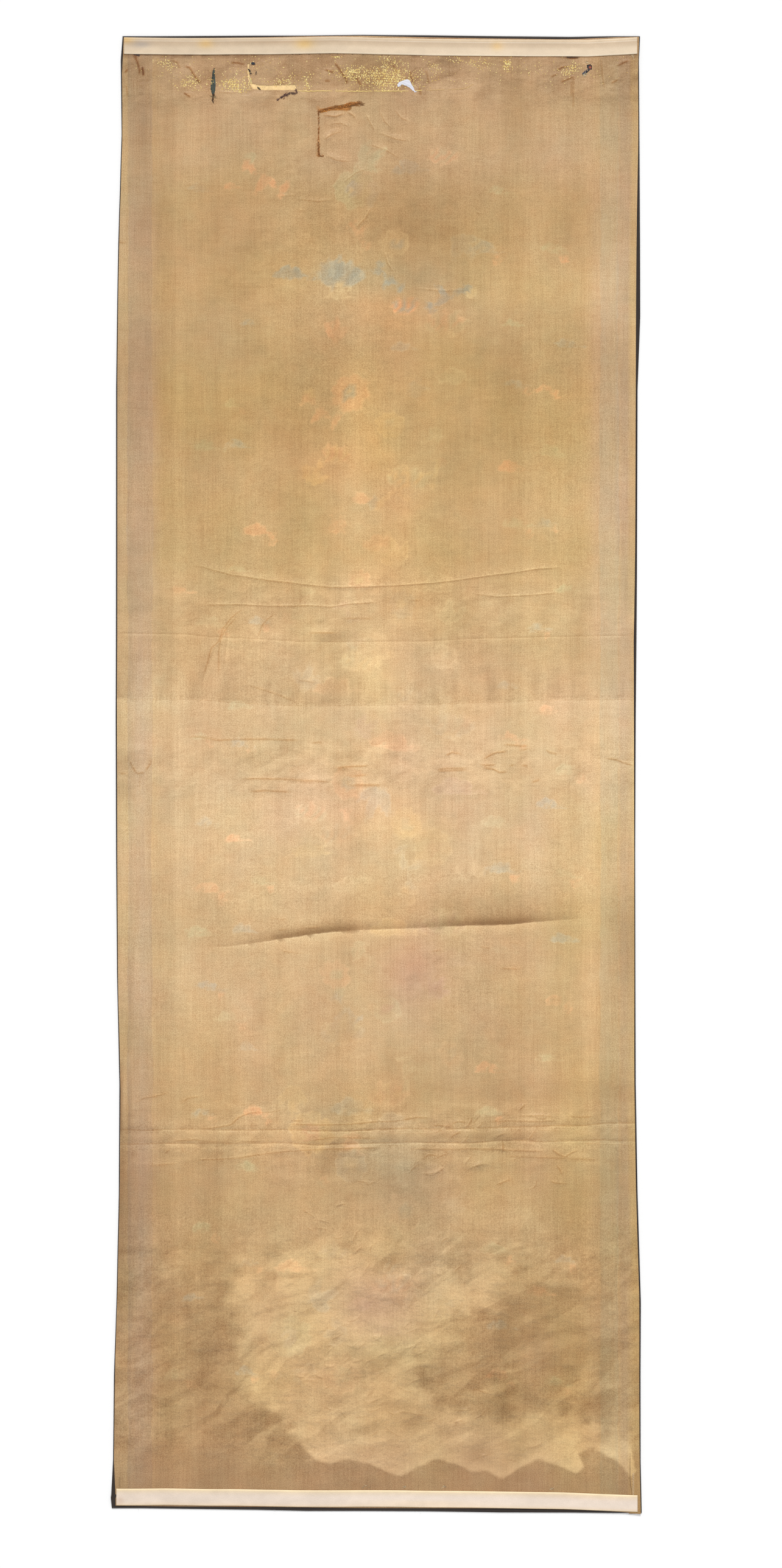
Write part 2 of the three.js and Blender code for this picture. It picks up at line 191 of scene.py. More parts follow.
# Lesser creases, from the top down
LESSER = [
    Crease([(-83, 721.5), (-46, 721.5)], 1.2, 4, 9, True, 12),
    Crease([(-158.8, 691.6), (-174.2, 704.1), (-184.5, 717.4), (-189.6, 732.8), (-198.5, 740.9),
            (-202.9, 757.8), (-209.5, 777.6)], 0.9, 3.4, 3, True, 22),
    Crease([(-166, 702), (-178.6, 714.4), (-187.4, 728.4), (-189.6, 743.8), (-189.6, 760.7),
            (-190.4, 774)], 0.6, 3, 3, True, 16),
    Crease([(-122, 699), (-130.8, 705.6), (-137.4, 714.4), (-143.3, 728.4)], 0.7, 3, 3, True, 10),
    Crease([(-154.4, 785), (-126, 794), (-97.8, 804.8)], 0.4, 2, 2, True, 12),
    Crease([(-94, 779), (-82, 780.5), (-72.8, 782)], 0.5, 3, 2, True, 6),
    Crease([(-41, 704.6), (-3, 704.6)], 0.4, 4, 1.8, True, 8),
    Crease([(37, 683.3), (55, 682.5)], 0.4, 3, 1.6, True, 6),
    # Beside and under the broad fold
    Crease([(-127, 1065.8), (-118, 1067.4), (-106, 1067.2)], 0.7, 4, 2, True, 6),
    Crease([(-119, 1080.6), (-107, 1080.2)], 0.6, 3, 1.8, True, 5),
    Crease([(-86, 1078.6), (-67, 1077.8)], 0.7, 3, 1.8, True, 6),
    Crease([(-115, 1105.4), (-101, 1107.8), (-82, 1109.1)], 0.6, 4, 1.8, True, 8),
    Crease([(163, 1095.6), (171, 1097)], 0.5, 3, 1.6, True, 4),
    Crease([(124, 1100.2), (140, 1103.6)], 0.5, 3, 1.6, True, 5),
    Crease([(66, 1107), (79, 1104.6)], 0.5, 2, 2, True, 5),
    Crease([(149, 1126.8), (174, 1128)], 0.7, 1.8, 4, True, 8),
    # Between, above and below the two long folds of the lower part
    Crease([(-219, 1321.6), (-207, 1320.8), (-186, 1318), (-176, 1316), (-166, 1306.8), (-153, 1301.6),
            (-141, 1300.6), (-126, 1300.2), (-112, 1297)], 0.8, 2.2, 5, True, 14),
    Crease([(-104, 1315), (-71, 1316), (-30, 1315), (5, 1311.5), (26, 1311), (49, 1307), (67, 1308)],
           0.9, 5, 2, True, 14),
    Crease([(-106, 1311), (-87, 1311)], 0.6, 3, 1.6, True, 6),
    Crease([(67, 1316), (84, 1317.7), (94, 1318)], 0.6, 3, 1.6, True, 6),
    Crease([(136, 1311.3), (158, 1311), (187, 1312), (220, 1311)], 0.8, 5, 2, True, 12),
    Crease([(171, 1305.7), (199, 1305), (216, 1306.8)], 0.7, 5, 2, True, 10),
    Crease([(232, 1305.7), (247, 1306.8), (263, 1305.7)], 0.6, 4, 1.8, True, 8),
    Crease([(-246, 1335.6), (-219, 1334), (-203, 1335.6), (-174, 1337.4), (-137, 1335.2)],
           0.6, 3, 1.8, True, 12),
    Crease([(-81, 1335.6), (-50, 1330.5), (5, 1332.5)], 0.6, 4, 2, True, 14),
    Crease([(-219, 1358.7), (-190, 1357.3), (-162, 1355.2), (-137, 1351.1), (-112, 1348.4),
            (-81, 1345.9), (-50, 1344.9), (5, 1343.5)], 0.9, 4, 2, True, 16),
    Crease([(-277, 1365.5), (-240, 1363)], 0.5, 3, 1.8, True, 10),
    Crease([(41, 1344.9), (84, 1345.9), (113, 1344.9), (142, 1345.5), (166, 1347), (204, 1348.4)],
           0.7, 3, 2, True, 14),
    Crease([(156, 1353.8), (187, 1355.2), (220, 1356.3), (268, 1358)], 0.5, 4, 2, True, 14),
    Crease([(212, 1345), (220, 1352), (228, 1354.6), (235, 1350), (243, 1347)], 0.9, 3, 3, True, 6),
    Crease([(218, 1364.5), (222, 1370.7), (225, 1377)], 0.7, 2.4, 2.4, True, 4),
    Crease([(144, 1389.3), (154, 1385), (164, 1381)], 0.9, 5, 3, True, 6),
    Crease([(210, 1384), (218, 1386.8), (230, 1386.8)], 0.8, 4, 3, True, 5),
    Crease([(88, 1333.6), (94, 1327.8), (103, 1323.3)], 0.8, 4, 3, True, 6),
    Crease([(55, 1357.3), (63, 1352), (76, 1353.2)], 0.7, 4, 3, True, 6),
    Crease([(90, 1315), (98, 1312), (109, 1313)], 0.8, 4, 3, True, 6),
    Crease([(-291, 1288.6), (-281, 1284), (-265, 1281), (-250, 1276.8)], 0.6, 3, 2, True, 10),
    Crease([(-236, 1290.3), (-228, 1284), (-211, 1281.6)], 0.5, 3, 2, True, 8),
    Crease([(-259, 1354.2), (-254, 1349), (-248, 1345)], 0.6, 2.4, 2.4, True, 4),
    Crease([(-235, 1342.8), (-231, 1351)], 0.6, 2.4, 2.4, True, 3),
    # The crumpled line half way down
    Crease([(-230, 847.8), (-209, 847.8), (-192, 851.9), (-162, 850.5), (-133, 850.5), (-91, 852)],
           0.35, 3, 1.8, True, 16),
    Crease([(-77, 855), (-67, 854)], 0.4, 2, 2, True, 4),
    Crease([(-298, 875.6), (-289, 892)], 0.9, 3, 4, True, 6),
    Crease([(-290, 892.5), (-280, 890.5)], 0.8, 4, 2.4, True, 3),
    Crease([(-280, 890.5), (-274, 881.8), (-271, 872.5)], 0.6, 4, 3, True, 8),
    Crease([(-285, 892), (-284, 919)], 0.5, 6, 6, True, 12),
    Crease([(-312, 892), (-301, 892)], 0.6, 2, 4, True, 4),
    Crease([(-48, 885), (-30, 883.5), (-9, 882.8)], 0.5, 3, 2.4, True, 6),
    Crease([(-30, 895.2), (-11, 893.8)], 0.35, 2.4, 1.8, True, 5),
    Crease([(-32, 906.6), (-19, 905.5), (5, 906)], 0.4, 2.4, 1.8, True, 6),
    Crease([(-164, 898.7), (-145, 898.3), (-112, 898.7), (-54, 902.4)], 0.35, 3, 1.8, True, 14),
    Crease([(-155, 913.8), (-133, 912.7), (-102, 914.4)], 0.35, 3, 1.8, True, 10),
    Crease([(83, 870.5), (92, 866.3), (104, 869)], 0.6, 2.4, 2, True, 4),
    Crease([(129, 874.6), (138, 869.4), (146, 866.3), (158, 865.3)], 0.8, 3, 3, True, 6),
    Crease([(154, 856.6), (166, 858), (185, 858.7)], 0.6, 3, 2.4, True, 6),
    Crease([(173, 864.3), (185, 861.2)], 0.5, 2.4, 2.4, True, 4),
    Crease([(72, 887), (88, 885.9), (109, 885.5)], 0.6, 2, 1.6, True, 4),
    Crease([(73, 889), (109, 887.8)], 0.6, 1.6, 2, True, 4),
    Crease([(127, 881.4), (136, 882.2), (144, 880.8)], 0.6, 2.4, 2, True, 3),
    Crease([(131, 885), (142, 887), (148, 890.5), (158, 890)], 0.7, 2.4, 2, True, 4),
    Crease([(159, 882.2), (165, 882.2)], 0.6, 2, 2, True, 2),
    Crease([(175, 882.2), (182, 882.2)], 0.6, 2, 2, True, 2),
    Crease([(204, 863.2), (210, 867), (220, 868.4)], 0.5, 2.4, 2, True, 4),
    Crease([(187, 902.8), (198, 899.3)], 0.4, 2, 2, True, 4),
    Crease([(278, 873.6), (290, 875.2), (298, 878.7), (312, 882.2)], 0.8, 3, 2.4, True, 6),
]

# Crumpled creases of the worn top, their lines painted dark with shade and soil
TOP_CREASES = [
    Crease([(-292, 25), (-288.3, 32.8), (-285.8, 41.4), (-285.8, 49)], 0.8, 1.6, 2.4, True, 5, 0.70),
    Crease([(-282.5, 37.7), (-281.6, 44), (-280.9, 50)], 0.9, 1.4, 2.4, True, 3, 0.50),
    Crease([(-292.5, 22.6), (-286, 25)], 0.6, 2, 2, True, 2, 0.55),
    Crease([(-303.6, 46), (-301.5, 43), (-299.9, 41.4)], 0.7, 2, 2, True, 2, 0.72),
    Crease([(-302, 60), (-300, 75)], 0.5, 3, 3, True, 6, 0.86),
    Crease([(-292.6, 53), (-292, 64), (-291, 76)], 0.7, 3, 3, True, 8),
    Crease([(-231.3, 37.7), (-225.2, 39.6), (-221.5, 46.3), (-216.6, 53.7), (-211.7, 58.5)],
           1.2, 3, 2.2, True, 4, 0.74),
    Crease([(-232.5, 69.6), (-224, 75.7)], 1.0, 3, 2.2, True, 3, 0.74),
    Crease([(-194, 68.4), (-178, 69.8), (-162, 69)], 0.8, 3, 5, True, 10),
    Crease([(-250, 30), (-240, 33), (-236, 42)], 0.6, 3, 3, True, 6, 0.9),
    Crease([(-176, 33.6), (-167, 34), (-158, 36)], 0.5, 1.6, 1.6, True, 4, 0.76),
    Crease([(-50.6, 33.1), (-45.1, 40.4), (-41.4, 46.5), (-36.5, 52.7), (-35.3, 60)],
           1.3, 2.4, 2.2, True, 4, 0.72),
    Crease([(-62.2, 41.6), (-57.3, 43.5), (-50.6, 45.9)], 1.0, 2.4, 2.4, True, 3, 0.75),
    Crease([(-27.9, 47.8), (-23, 52.7), (-18.1, 62.5)], 1.0, 2.4, 2, True, 3, 0.80),
    Crease([(-62.8, 55.4), (-55.5, 55.8)], 0.7, 2, 2, True, 2, 0.78),
    Crease([(19.9, 35.5), (24.8, 45.3)], 0.8, 2.5, 2.5, True, 3, 0.86),
    Crease([(40.7, 42.9), (41.9, 51.4), (45.6, 57.6)], 0.8, 2.5, 2.5, True, 3, 0.84),
    Crease([(41.3, 29.8), (43, 28.6), (45, 32)], 0.6, 1.5, 1.5, True, 2),
    Crease([(59.1, 41.4), (61.5, 47.5), (64, 59.8)], 0.7, 2.5, 2.5, True, 4, 0.9),
    Crease([(51.7, 63.5), (54.2, 73.3)], 0.7, 1.6, 1.6, True, 3, 0.82),
    Crease([(218.3, 42.9), (224.4, 39.2), (231.8, 38)], 0.9, 2.4, 2.4, True, 3, 0.76),
    Crease([(209.7, 51.4), (219.5, 46.5)], 0.8, 2.4, 2.4, True, 3, 0.86),
    Crease([(222.6, 57), (230.5, 53.9), (237.9, 50.2)], 0.9, 2.4, 2.4, True, 3, 0.80),
    Crease([(229.3, 27.4), (236, 28.4), (242.8, 27.6)], 0.6, 1.6, 1.6, True, 2, 0.55),
    Crease([(247.7, 42.9), (248, 37), (251, 35.2), (252.8, 38), (253, 43)], 0.7, 1.2, 1.2, True, 2),
    Crease([(283.2, 58.8), (291.8, 53.9)], 0.8, 2.4, 2.4, True, 3, 0.82),
    Crease([(290, 38), (296.7, 34.3), (305.3, 30.6)], 1.0, 4, 4, True, 5, 0.78),
    Crease([(238.5, 49), (238.2, 70), (237.9, 89)], 0.5, 1.3, 1.3, True, 4, 0.92),
    Crease([(235.6, 55), (235.4, 76)], 0.4, 1.3, 1.3, True, 6, 0.9),
    Crease([(271.6, 29.4), (272.8, 47.8), (275.9, 66)], 0.6, 5, 5, False, 8, 0.92),
    Crease([(-230.9, 186.7), (-222, 188), (-215.3, 186.7)], 0.5, 2, 1.4, True, 5),
    Crease([(-119, 194.8), (-107, 193.6), (-93.3, 194)], 0.5, 2, 1.4, True, 5),
    Crease([(-97.8, 213.2), (-90, 211.6), (-83, 212.7)], 0.5, 2, 1.4, True, 4),
    Crease([(-316, 250), (-303, 251)], 0.5, 2, 2, True, 3, 0.9),
    # Under the frayed cut
    Crease([(-64, 97), (-50, 99), (-38, 95)], 1.6, 5, 4, True, 8, 0.9),
    Crease([(-36, 93), (-28, 97), (-24, 103)], 1.7, 3.4, 3.4, True, 6, 0.94),
    Crease([(-66, 128), (-52, 119), (-40, 116)], 1.5, 7, 6, False, 10),
    Crease([(-62, 144), (-48, 151), (-30, 153)], 1.3, 7, 6, False, 12),
    Crease([(-58, 108), (-44, 106), (-30, 112)], 1.2, 6, 5, False, 10),
    Crease([(-14, 94), (-8, 104), (-2, 116)], 1.4, 4.5, 4, True, 8),
    Crease([(4, 92), (10, 104), (20, 114)], 1.5, 4.5, 4, True, 8),
    Crease([(22, 90), (30, 100), (42, 106)], 1.2, 5, 4.5, False, 8),
    Crease([(2, 118), (24, 126), (40, 128)], 1.4, 6, 6, False, 12),
    Crease([(-10, 132), (10, 138), (30, 150)], 1.1, 5, 4, False, 12),
    Crease([(-40, 178), (-24, 166), (-12, 162)], 1.0, 6, 6, False, 10),
    Crease([(-96, 198), (-70, 201), (-52, 199)], 0.7, 2, 2, True, 10),
    Crease([(-30, 204), (-20, 202)], 0.6, 2, 2, True, 4),
    Crease([(-26, 234), (-14, 222), (-6, 208)], 1.0, 4, 4, False, 8),
    Crease([(10, 262), (14, 276), (22, 288)], 0.8, 3, 3, True, 8),
    Crease([(48, 306), (80, 309), (110, 308)], 0.6, 2.4, 2, True, 14),
    Crease([(120, 214), (126, 216)], 0.8, 2.4, 2, True, 3),
]

# Broad soft swellings of the lining above its main seam of folds, and in its lower part
SWELLINGS = [
    Crease([(-316, 1331), (0, 1331), (318, 1328)], 1.1, 24, 24, False, 12),
    Crease([(-150, 745), (-160, 775), (-166, 800)], 0.9, 9, 9, False, 20),
    Crease([(-120, 748), (-112, 775), (-116, 802)], 0.8, 10, 9, False, 20),
    Crease([(-60, 760), (-52, 805)], 0.7, 10, 10, False, 18),
    Crease([(-10, 765), (-14, 806)], 0.7, 9, 9, False, 18),
    Crease([(40, 762), (36, 805)], 0.6, 9, 9, False, 18),
    Crease([(84, 768), (92, 803)], 0.6, 9, 9, False, 16),
]

# Zones full of short rumples: the middle across and down, half the width and height, how many,
# their lengths, and the way most of them lean, in degrees
RUMPLED = [
    (0, 1598, 62, 42, 34, 9, 24, -28), (52, 1662, 84, 26, 16, 14, 34, -8),
    (-70, 1640, 40, 40, 8, 12, 26, 20), (84, 1352, 38, 44, 12, 14, 34, -38),
    (170, 1338, 34, 52, 8, 12, 30, -30), (-40, 1420, 60, 40, 8, 12, 26, 24),
    (40, 1500, 70, 50, 8, 14, 30, -40), (186, 1705, 60, 20, 8, 12, 26, -14),
]


def rumples():
    """Short creases strewn over the rumpled zones, the same each run."""
    random = np.random.default_rng(33)
    made = []
    for across, down, wide, tall, count, least, most, lean in RUMPLED:
        for _ in range(count):
            x, y = across + wide * random.uniform(-1, 1), down + tall * random.uniform(-1, 1)
            half = random.uniform(least, most) / 2
            turn = math.radians(lean + random.normal(0, 22))
            bend = random.normal(0, 0.22) * half
            along, beside = math.cos(turn), math.sin(turn)
            path = [(x + half * t * along - bend * (1 - t * t) * beside,
                     y + half * t * beside + bend * (1 - t * t) * along) for t in (-1, -0.3, 0.4, 1)]
            made.append(Crease(path, random.uniform(0.8, 1.5), random.uniform(3, 8),
                               random.uniform(2, 4), True, half))
    return made


# The lesser creases have painted shade and soil along their lines, most of all those half way down
LESSER = [crease._replace(dirt=0.89 if 845 < crease.path[0][1] < 925 else 0.95) for crease in LESSER]
CREASES = MAIN_FOLDS + LESSER + TOP_CREASES + rumples()

SHADES = [
    Shade(BROAD_FOOT[2:7], -0.10, 11, 0.02, 7, 12),
    Shade(BROAD_FOOT[9:13], -0.11, 12, 0.02, 7, 30),
    Shade(BROAD_FOOT, -0.045, 11, 0.05, 7, 90),
    Shade(MAIN_FOLDS[0].path, 0.035, 1.7, -0.03, 2.6, 30),
    Shade(MAIN_FOLDS[1].path, 0.035, 1.5, -0.02, 2, 20),
    Shade(MAIN_FOLDS[2].path, 0.035, 1.5, -0.02, 2, 16),
    Shade(MAIN_FOLDS[3].path, -0.03, 1.6, 0.025, 2.4, 20),
    Shade(MAIN_FOLDS[4].path, -0.015, 5, 0.022, 4, 6),
    Shade(MAIN_FOLDS[5].path, -0.03, 4, 0.035, 6, 6),
    Shade(MAIN_FOLDS[6].path, -0.03, 4, 0.045, 6, 6),
    # Beside the crumpled lines above the tone step
    Shade([(-193.3, 776), (-193.3, 804.8)], 0.05, 2.2, -0.03, 3, 8),
    Shade([(-99.2, 789), (-98.5, 808)], 0.05, 2, -0.03, 2.4, 6),
    Shade([(-176, 716), (-181, 740), (-184, 770)], 0.03, 6, -0.03, 5, 20),
    Shade([(-196, 744), (-204, 764), (-211, 790)], 0.035, 5, -0.045, 7, 20),
    # Along the hems
    Shade([(-308, 1235), (-309, 1280), (-309, 1330)], -0.16, 4, -0.10, 2.5, 10),
    Shade([(-303, 1235), (-304, 1330)], 0.04, 2, 0.04, 2, 10),
    Shade([(-296.5, 1240), (-297.5, 1330)], -0.08, 2.4, -0.08, 2.4, 10),
    Shade([(-309, 1350), (-309, 1500)], -0.07, 4, -0.05, 4, 20),
    Shade([(-297.5, 1100), (-298, 1230)], -0.06, 2.4, -0.06, 2.4, 20),
    Shade([(-270, 740), (-270.5, 1000), (-270, 1235)], 0.02, 1.6, -0.03, 1.6, 60),
    # Fine lines in the lower part
    Shade([(-266, 1213), (-200, 1212), (-145, 1213.5)], -0.02, 1.4, 0.02, 2, 20),
    Shade([(-175, 1708.5), (-90, 1709.6), (40, 1708)], -0.02, 1.6, 0.02, 2, 30),
    Shade([(-10, 1607), (80, 1610), (250, 1611)], -0.02, 1.6, 0.02, 2, 30),
    Shade([(18, 1563), (60, 1565), (109, 1563)], -0.03, 2, 0.02, 2, 20),
]


def crease_place(crease, across, down):
    """Each place's distance from a crease, its side of it and how near it is to an end."""
    path = np.array(crease.path, float)
    lengths = np.hypot(*np.diff(path, axis=0).T)
    total = lengths.sum()
    gap = np.full(across.shape, 1e9)
    side = np.zeros_like(gap)
    along = np.zeros_like(gap)
    run = 0.0
    for (ax, ay), (bx, by), length in zip(path[:-1], path[1:], lengths):
        ux, uy = (bx - ax) / length, (by - ay) / length
        t = np.clip((across - ax) * ux + (down - ay) * uy, 0, length)
        dx, dy = across - ax - t * ux, down - ay - t * uy
        here = np.hypot(dx, dy)
        nearer = here < gap
        gap = np.where(nearer, here, gap)
        side = np.where(nearer, np.sign(dy * ux - dx * uy), side)
        along = np.where(nearer, run + t, along)
        run += length
    ends = np.minimum(along, total - along) / min(crease.taper, total / 2)
    return gap, side, smooth(0.12 + ends)


def crease_height(crease, across, down):
    """How high one crease raises each place."""
    gap, side, ends = crease_place(crease, across, down)
    t = np.clip(gap / np.where(side < 0, crease.above, crease.below), 0, 1)
    slope = (1 - t) ** 1.7 if crease.sharp else 1 - smooth(t)
    return crease.height * slope * ends


def near(crease, across, down, reach=None):
    """Which places a crease can reach."""
    path = np.array(crease.path, float)
    reach = reach or max(crease.above, crease.below)
    low, high = path.min(0) - reach, path.max(0) + reach
    return (across > low[0]) & (across < high[0]) & (down > low[1]) & (down < high[1])


def broad_fold(across, down):
    """How high the broad fold raises each place."""
    path = np.array(BROAD_FOOT)
    above = np.interp(across, path[:, 0], path[:, 1]) - down
    strength = smooth((across + 222) / 110) * smooth((262 - across) / 60)
    foot = 1 - (1 - np.clip(above / BROAD_STEEP, 0, 1)) ** 2.2
    back = 1 - smooth((above - BROAD_STEEP) / BROAD_BACK)
    return BROAD_HEIGHT * strength * foot * back


def relief(across, down):
    """How far the lining stands above its lowest lie."""
    height = 0.18 * (1 + soft_noise(across, down, 70, 110, 11))
    height += broad_fold(across, down)
    height += 0.05 * (1 + soft_noise(across, down, 16, 30, 12))
    slack = smooth((down - 1380) / 80) * smooth((1750 - down) / 60)
    height += slack * 0.45 * (1 + soft_noise(across, down, 95, 70, 13))
    for crease in CREASES + SWELLINGS:
        used = near(crease, across, down)
        height[used] += crease_height(crease, across[used], down[used])
    return height


# The lining's tone and coolness at a distance down, above and below the line where its tone steps
UPPER_TONES = [
    (0, 0.82, 1.03), (48, 0.84, 1.03), (96, 0.90, 1.015), (150, 0.905, 1.01), (192, 0.877, 0.968),
    (240, 0.863, 0.952), (300, 0.90, 0.95), (336, 0.90, 0.965), (384, 0.882, 0.94),
    (432, 0.882, 0.918), (480, 0.89, 0.922), (528, 0.922, 0.938), (576, 0.933, 0.945),
    (624, 0.932, 0.937), (672, 0.95, 0.968), (720, 0.963, 0.968), (768, 0.97, 0.995), (798, 0.962, 1.0),
]
LOWER_TONES = [
    (798, 1.036, 1.015), (822, 1.012, 1.01), (864, 1.0, 1.007), (912, 1.0, 1.02), (960, 0.99, 1.02),
    (1008, 0.992, 1.005), (1056, 0.982, 0.993), (1104, 0.968, 1.0), (1152, 0.967, 1.0),
    (1200, 0.945, 1.0), (1248, 0.936, 0.988), (1296, 0.92, 0.978), (1344, 0.90, 0.983),
    (1392, 0.867, 0.972), (1440, 0.864, 0.977), (1488, 0.868, 0.977), (1536, 0.838, 0.977),
    (1584, 0.828, 0.972), (1632, 0.828, 0.961), (1680, 0.81, 0.98), (1752, 0.78, 1.017),
]
TONE_NOISES = [(0.011, 13, 240, 21), (0.026, 44, 60, 22), (0.016, 11, 24, 23)]
SILK = np.array([215, 180, 133]) / 255
SILK_DEPTH = np.array([1.0, 1.25, 1.5])

# Bands down both sides: where they begin and end across, and how they change the colour
SIDE_BANDS = [
    (-330, -296, 4, (0.975, 0.985, 0.985)),
    (-268, -244, 4, (0.965, 0.96, 0.95)),
    (-214, -188, 5, (0.985, 0.98, 0.975)),
    (150, 178, 6, (0.985, 0.98, 0.97)),
    (180, 226, 5, (1.01, 1.012, 1.015)),
    (250, 268, 8, (1.02, 1.02, 1.03)),
    (292, 306, 3, (0.96, 0.97, 1.02)),
    (307, 330, 3, (1.0, 1.005, 0.97)),
]

# Where the satin's shine is painted in the lower part, as an outline of (across, down) points
SHINE = [
    (-173, 1380), (-179, 1411), (-171, 1450), (-173, 1497), (-161, 1562), (-155, 1614), (-145, 1649),
    (-106, 1679), (-91, 1705), (-80, 1721), (-62, 1725), (-37, 1720), (-11, 1725), (7, 1735),
    (26, 1741), (46, 1731), (69, 1720), (93, 1726), (110, 1734), (132, 1735), (154, 1744),
    (171, 1732), (193, 1719), (214, 1729), (236, 1738), (247, 1731), (240, 1714), (257, 1707),
    (283, 1722), (301, 1742), (307, 1735), (296, 1696), (262, 1672), (218, 1657), (175, 1668),
    (136, 1677), (93, 1666), (50, 1636), (46, 1614), (58, 1595), (110, 1545), (149, 1497),
    (180, 1454), (188, 1420), (154, 1402), (67, 1394), (-19, 1385), (-106, 1376),
]

# Soft patches of tone, partly painted sheen and shade: across, down, half width, half height and how they
# change the tone
PATCHES = [
    (0, 930, 40, 190, 1.04), (-10, 770, 18, 45, 1.05), (-28, 560, 16, 130, 1.06),
    (-28, 300, 60, 60, 1.05), (40, 1052, 170, 16, 0.95), (150, 1050, 60, 20, 0.95),
    (150, 1180, 90, 90, 0.97), (190, 1275, 130, 16, 0.95), (-140, 1190, 7, 100, 0.96),
    (150, 1331, 42, 7, 0.92), (60, 1331, 60, 6, 0.95), (-60, 727, 26, 5, 0.95),
    (120, 1710, 20, 10, 0.88), (-50, 1648, 30, 14, 0.92), (0, 1600, 46, 12, 0.93),
    (20, 1655, 26, 8, 0.92), (200, 1700, 26, 16, 1.05), (-120, 1640, 36, 30, 1.04),
    (-30, 1700, 40, 14, 1.05), (240, 300, 60, 60, 1.05), (-230, 40, 60, 30, 0.98),
    (-200, 470, 90, 60, 0.97), (290, 640, 30, 160, 1.03), (-300, 1700, 40, 60, 1.08),
    (300, 1690, 20, 50, 1.04), (20, 560, 50, 70, 1.045), (30, 1250, 26, 50, 0.955),
    (20, 1400, 70, 46, 0.95), (168, 1400, 26, 60, 1.045), (168, 1250, 26, 50, 1.03),
    (-40, 1000, 70, 50, 0.965), (-20, 1140, 80, 50, 0.97), (200, 1150, 50, 50, 1.04),
    (170, 320, 60, 60, 1.04), (296, 740, 12, 220, 0.975), (-170, 440, 50, 60, 1.03),
    (-20, 420, 26, 70, 1.05), (-305, 250, 12, 90, 1.06), (-300, 690, 24, 80, 0.96),
    (-305, 890, 14, 40, 0.92), (-283, 120, 14, 40, 0.91), (-283, 1130, 14, 60, 1.05),
    (-285, 1560, 14, 60, 1.05), (-306, 1400, 12, 120, 0.89), (40, 32, 90, 9, 0.94),
    (-35, 54, 36, 12, 0.94), (70, 52, 30, 10, 0.96), (8, 50, 44, 16, 0.95), (20, 232, 50, 40, 0.965),
    (312, 52, 10, 12, 0.95), (290, 260, 26, 110, 1.07), (312, 400, 8, 60, 1.06),
    (312, 800, 8, 50, 0.93), (300, 1100, 24, 90, 0.93), (285, 1310, 26, 90, 0.93),
    (-200, 960, 70, 90, 1.025), (-210, 1140, 60, 60, 1.02), (314, 1080, 7, 60, 0.94),
    (290, 1640, 24, 60, 1.06),
]

# Hues of the woven design: how it tints the lining from below, and its own colour
HUES = {
    "blue": ((0.92, 0.985, 1.09), (62, 84, 112)),
    "coral": ((1.075, 1.0, 0.985), (199, 92, 74)),
    "yellow": ((1.07, 1.055, 1.0), (226, 186, 96)),
    "green": ((0.99, 1.035, 1.05), (118, 134, 88)),
    "purple": ((0.975, 0.955, 1.01), (116, 82, 112)),
    "cloud": ((0.955, 1.01, 1.10), (128, 140, 142)),
    "cream": ((1.05, 1.065, 1.07), (232, 214, 172)),
}

# Broad areas of one hue: across, down, half width, half height and how strongly it shows
TINTED = [
    ("blue", 24, 296, 70, 26, 0.55), ("coral", 20, 330, 46, 26, 0.6), ("coral", 24, 382, 26, 40, 0.5),
    ("coral", -56, 520, 46, 34, 0.55), ("yellow", -6, 492, 26, 46, 0.6), ("coral", 36, 560, 34, 30, 0.5),
    ("coral", 4, 640, 40, 60, 0.35), ("yellow", -4, 770, 24, 40, 0.5), ("purple", 44, 880, 60, 36, 0.4),
    ("coral", 4, 930, 60, 24, 0.4), ("yellow", 20, 960, 60, 16, 0.4), ("yellow", -8, 1040, 30, 40, 0.4),
    ("purple", 48, 1135, 36, 44, 1.3), ("coral", 30, 1120, 30, 30, 0.4), ("green", -30, 1150, 34, 40, 0.4),
    ("yellow", -10, 1302, 30, 24, 0.6), ("cloud", -60, 1300, 40, 20, 0.4), ("cloud", 20, 1370, 50, 50, 0.8),
    ("yellow", 8, 50, 44, 14, 0.6), ("green", 20, 1590, 50, 26, 0.5),
    ("purple", 8, 1530, 40, 36, 1.3), ("green", 10, 1590, 60, 20, 0.4), ("cloud", 70, 1480, 40, 60, 0.4),
]
GHOST_REACH = 14
Petal = namedtuple("Petal", "across down long wide turn hue")


def ring(across, down, count, reach, long, wide, turn, hue):
    """Petals round a middle."""
    petals = []
    for number in range(count):
        angle = turn + number * 360 / count
        petals.append(Petal(across + reach * math.cos(math.radians(angle)),
                            down + reach * math.sin(math.radians(angle)), long, wide, angle, hue))
    return petals


def peony(across, down, size, outer, inner, rim):
    """A round flower in three rings."""
    return (ring(across, down, 8, 0.62 * size, 0.42 * size, 0.33 * size, 12, outer)
            + ring(across, down, 5, 0.30 * size, 0.30 * size, 0.24 * size, 40, inner)
            + [Petal(across, down, 0.17 * size, 0.17 * size, 0, rim)])


def lotus(across, down, size, outer, inner, rim):
    """An open flower seen from the side."""
    petals = []
    for turn in (-160, -20, -140, -40, -118, -62, -90):
        hue = outer if turn in (-160, -20, -118, -62) else inner
        petals.append(Petal(across + 0.55 * size * math.cos(math.radians(turn)),
                            down + 0.42 * size * math.sin(math.radians(turn)),
                            0.5 * size, 0.2 * size, turn * 0.85 - 13, hue))
    return petals + [Petal(across, down + 0.08 * size, 0.5 * size, 0.13 * size, 0, rim)]


def leaves(across, down, size, turn, hue):
    """Three leaves from one point."""
    petals = []
    for swing, long in ((-38, 0.8), (0, 1), (38, 0.8)):
        angle = math.radians(turn + swing)
        petals.append(Petal(across + 0.55 * size * long * math.cos(angle),
                            down + 0.55 * size * long * math.sin(angle),
                            0.5 * size * long, 0.16 * size, turn + swing, hue))
    return petals


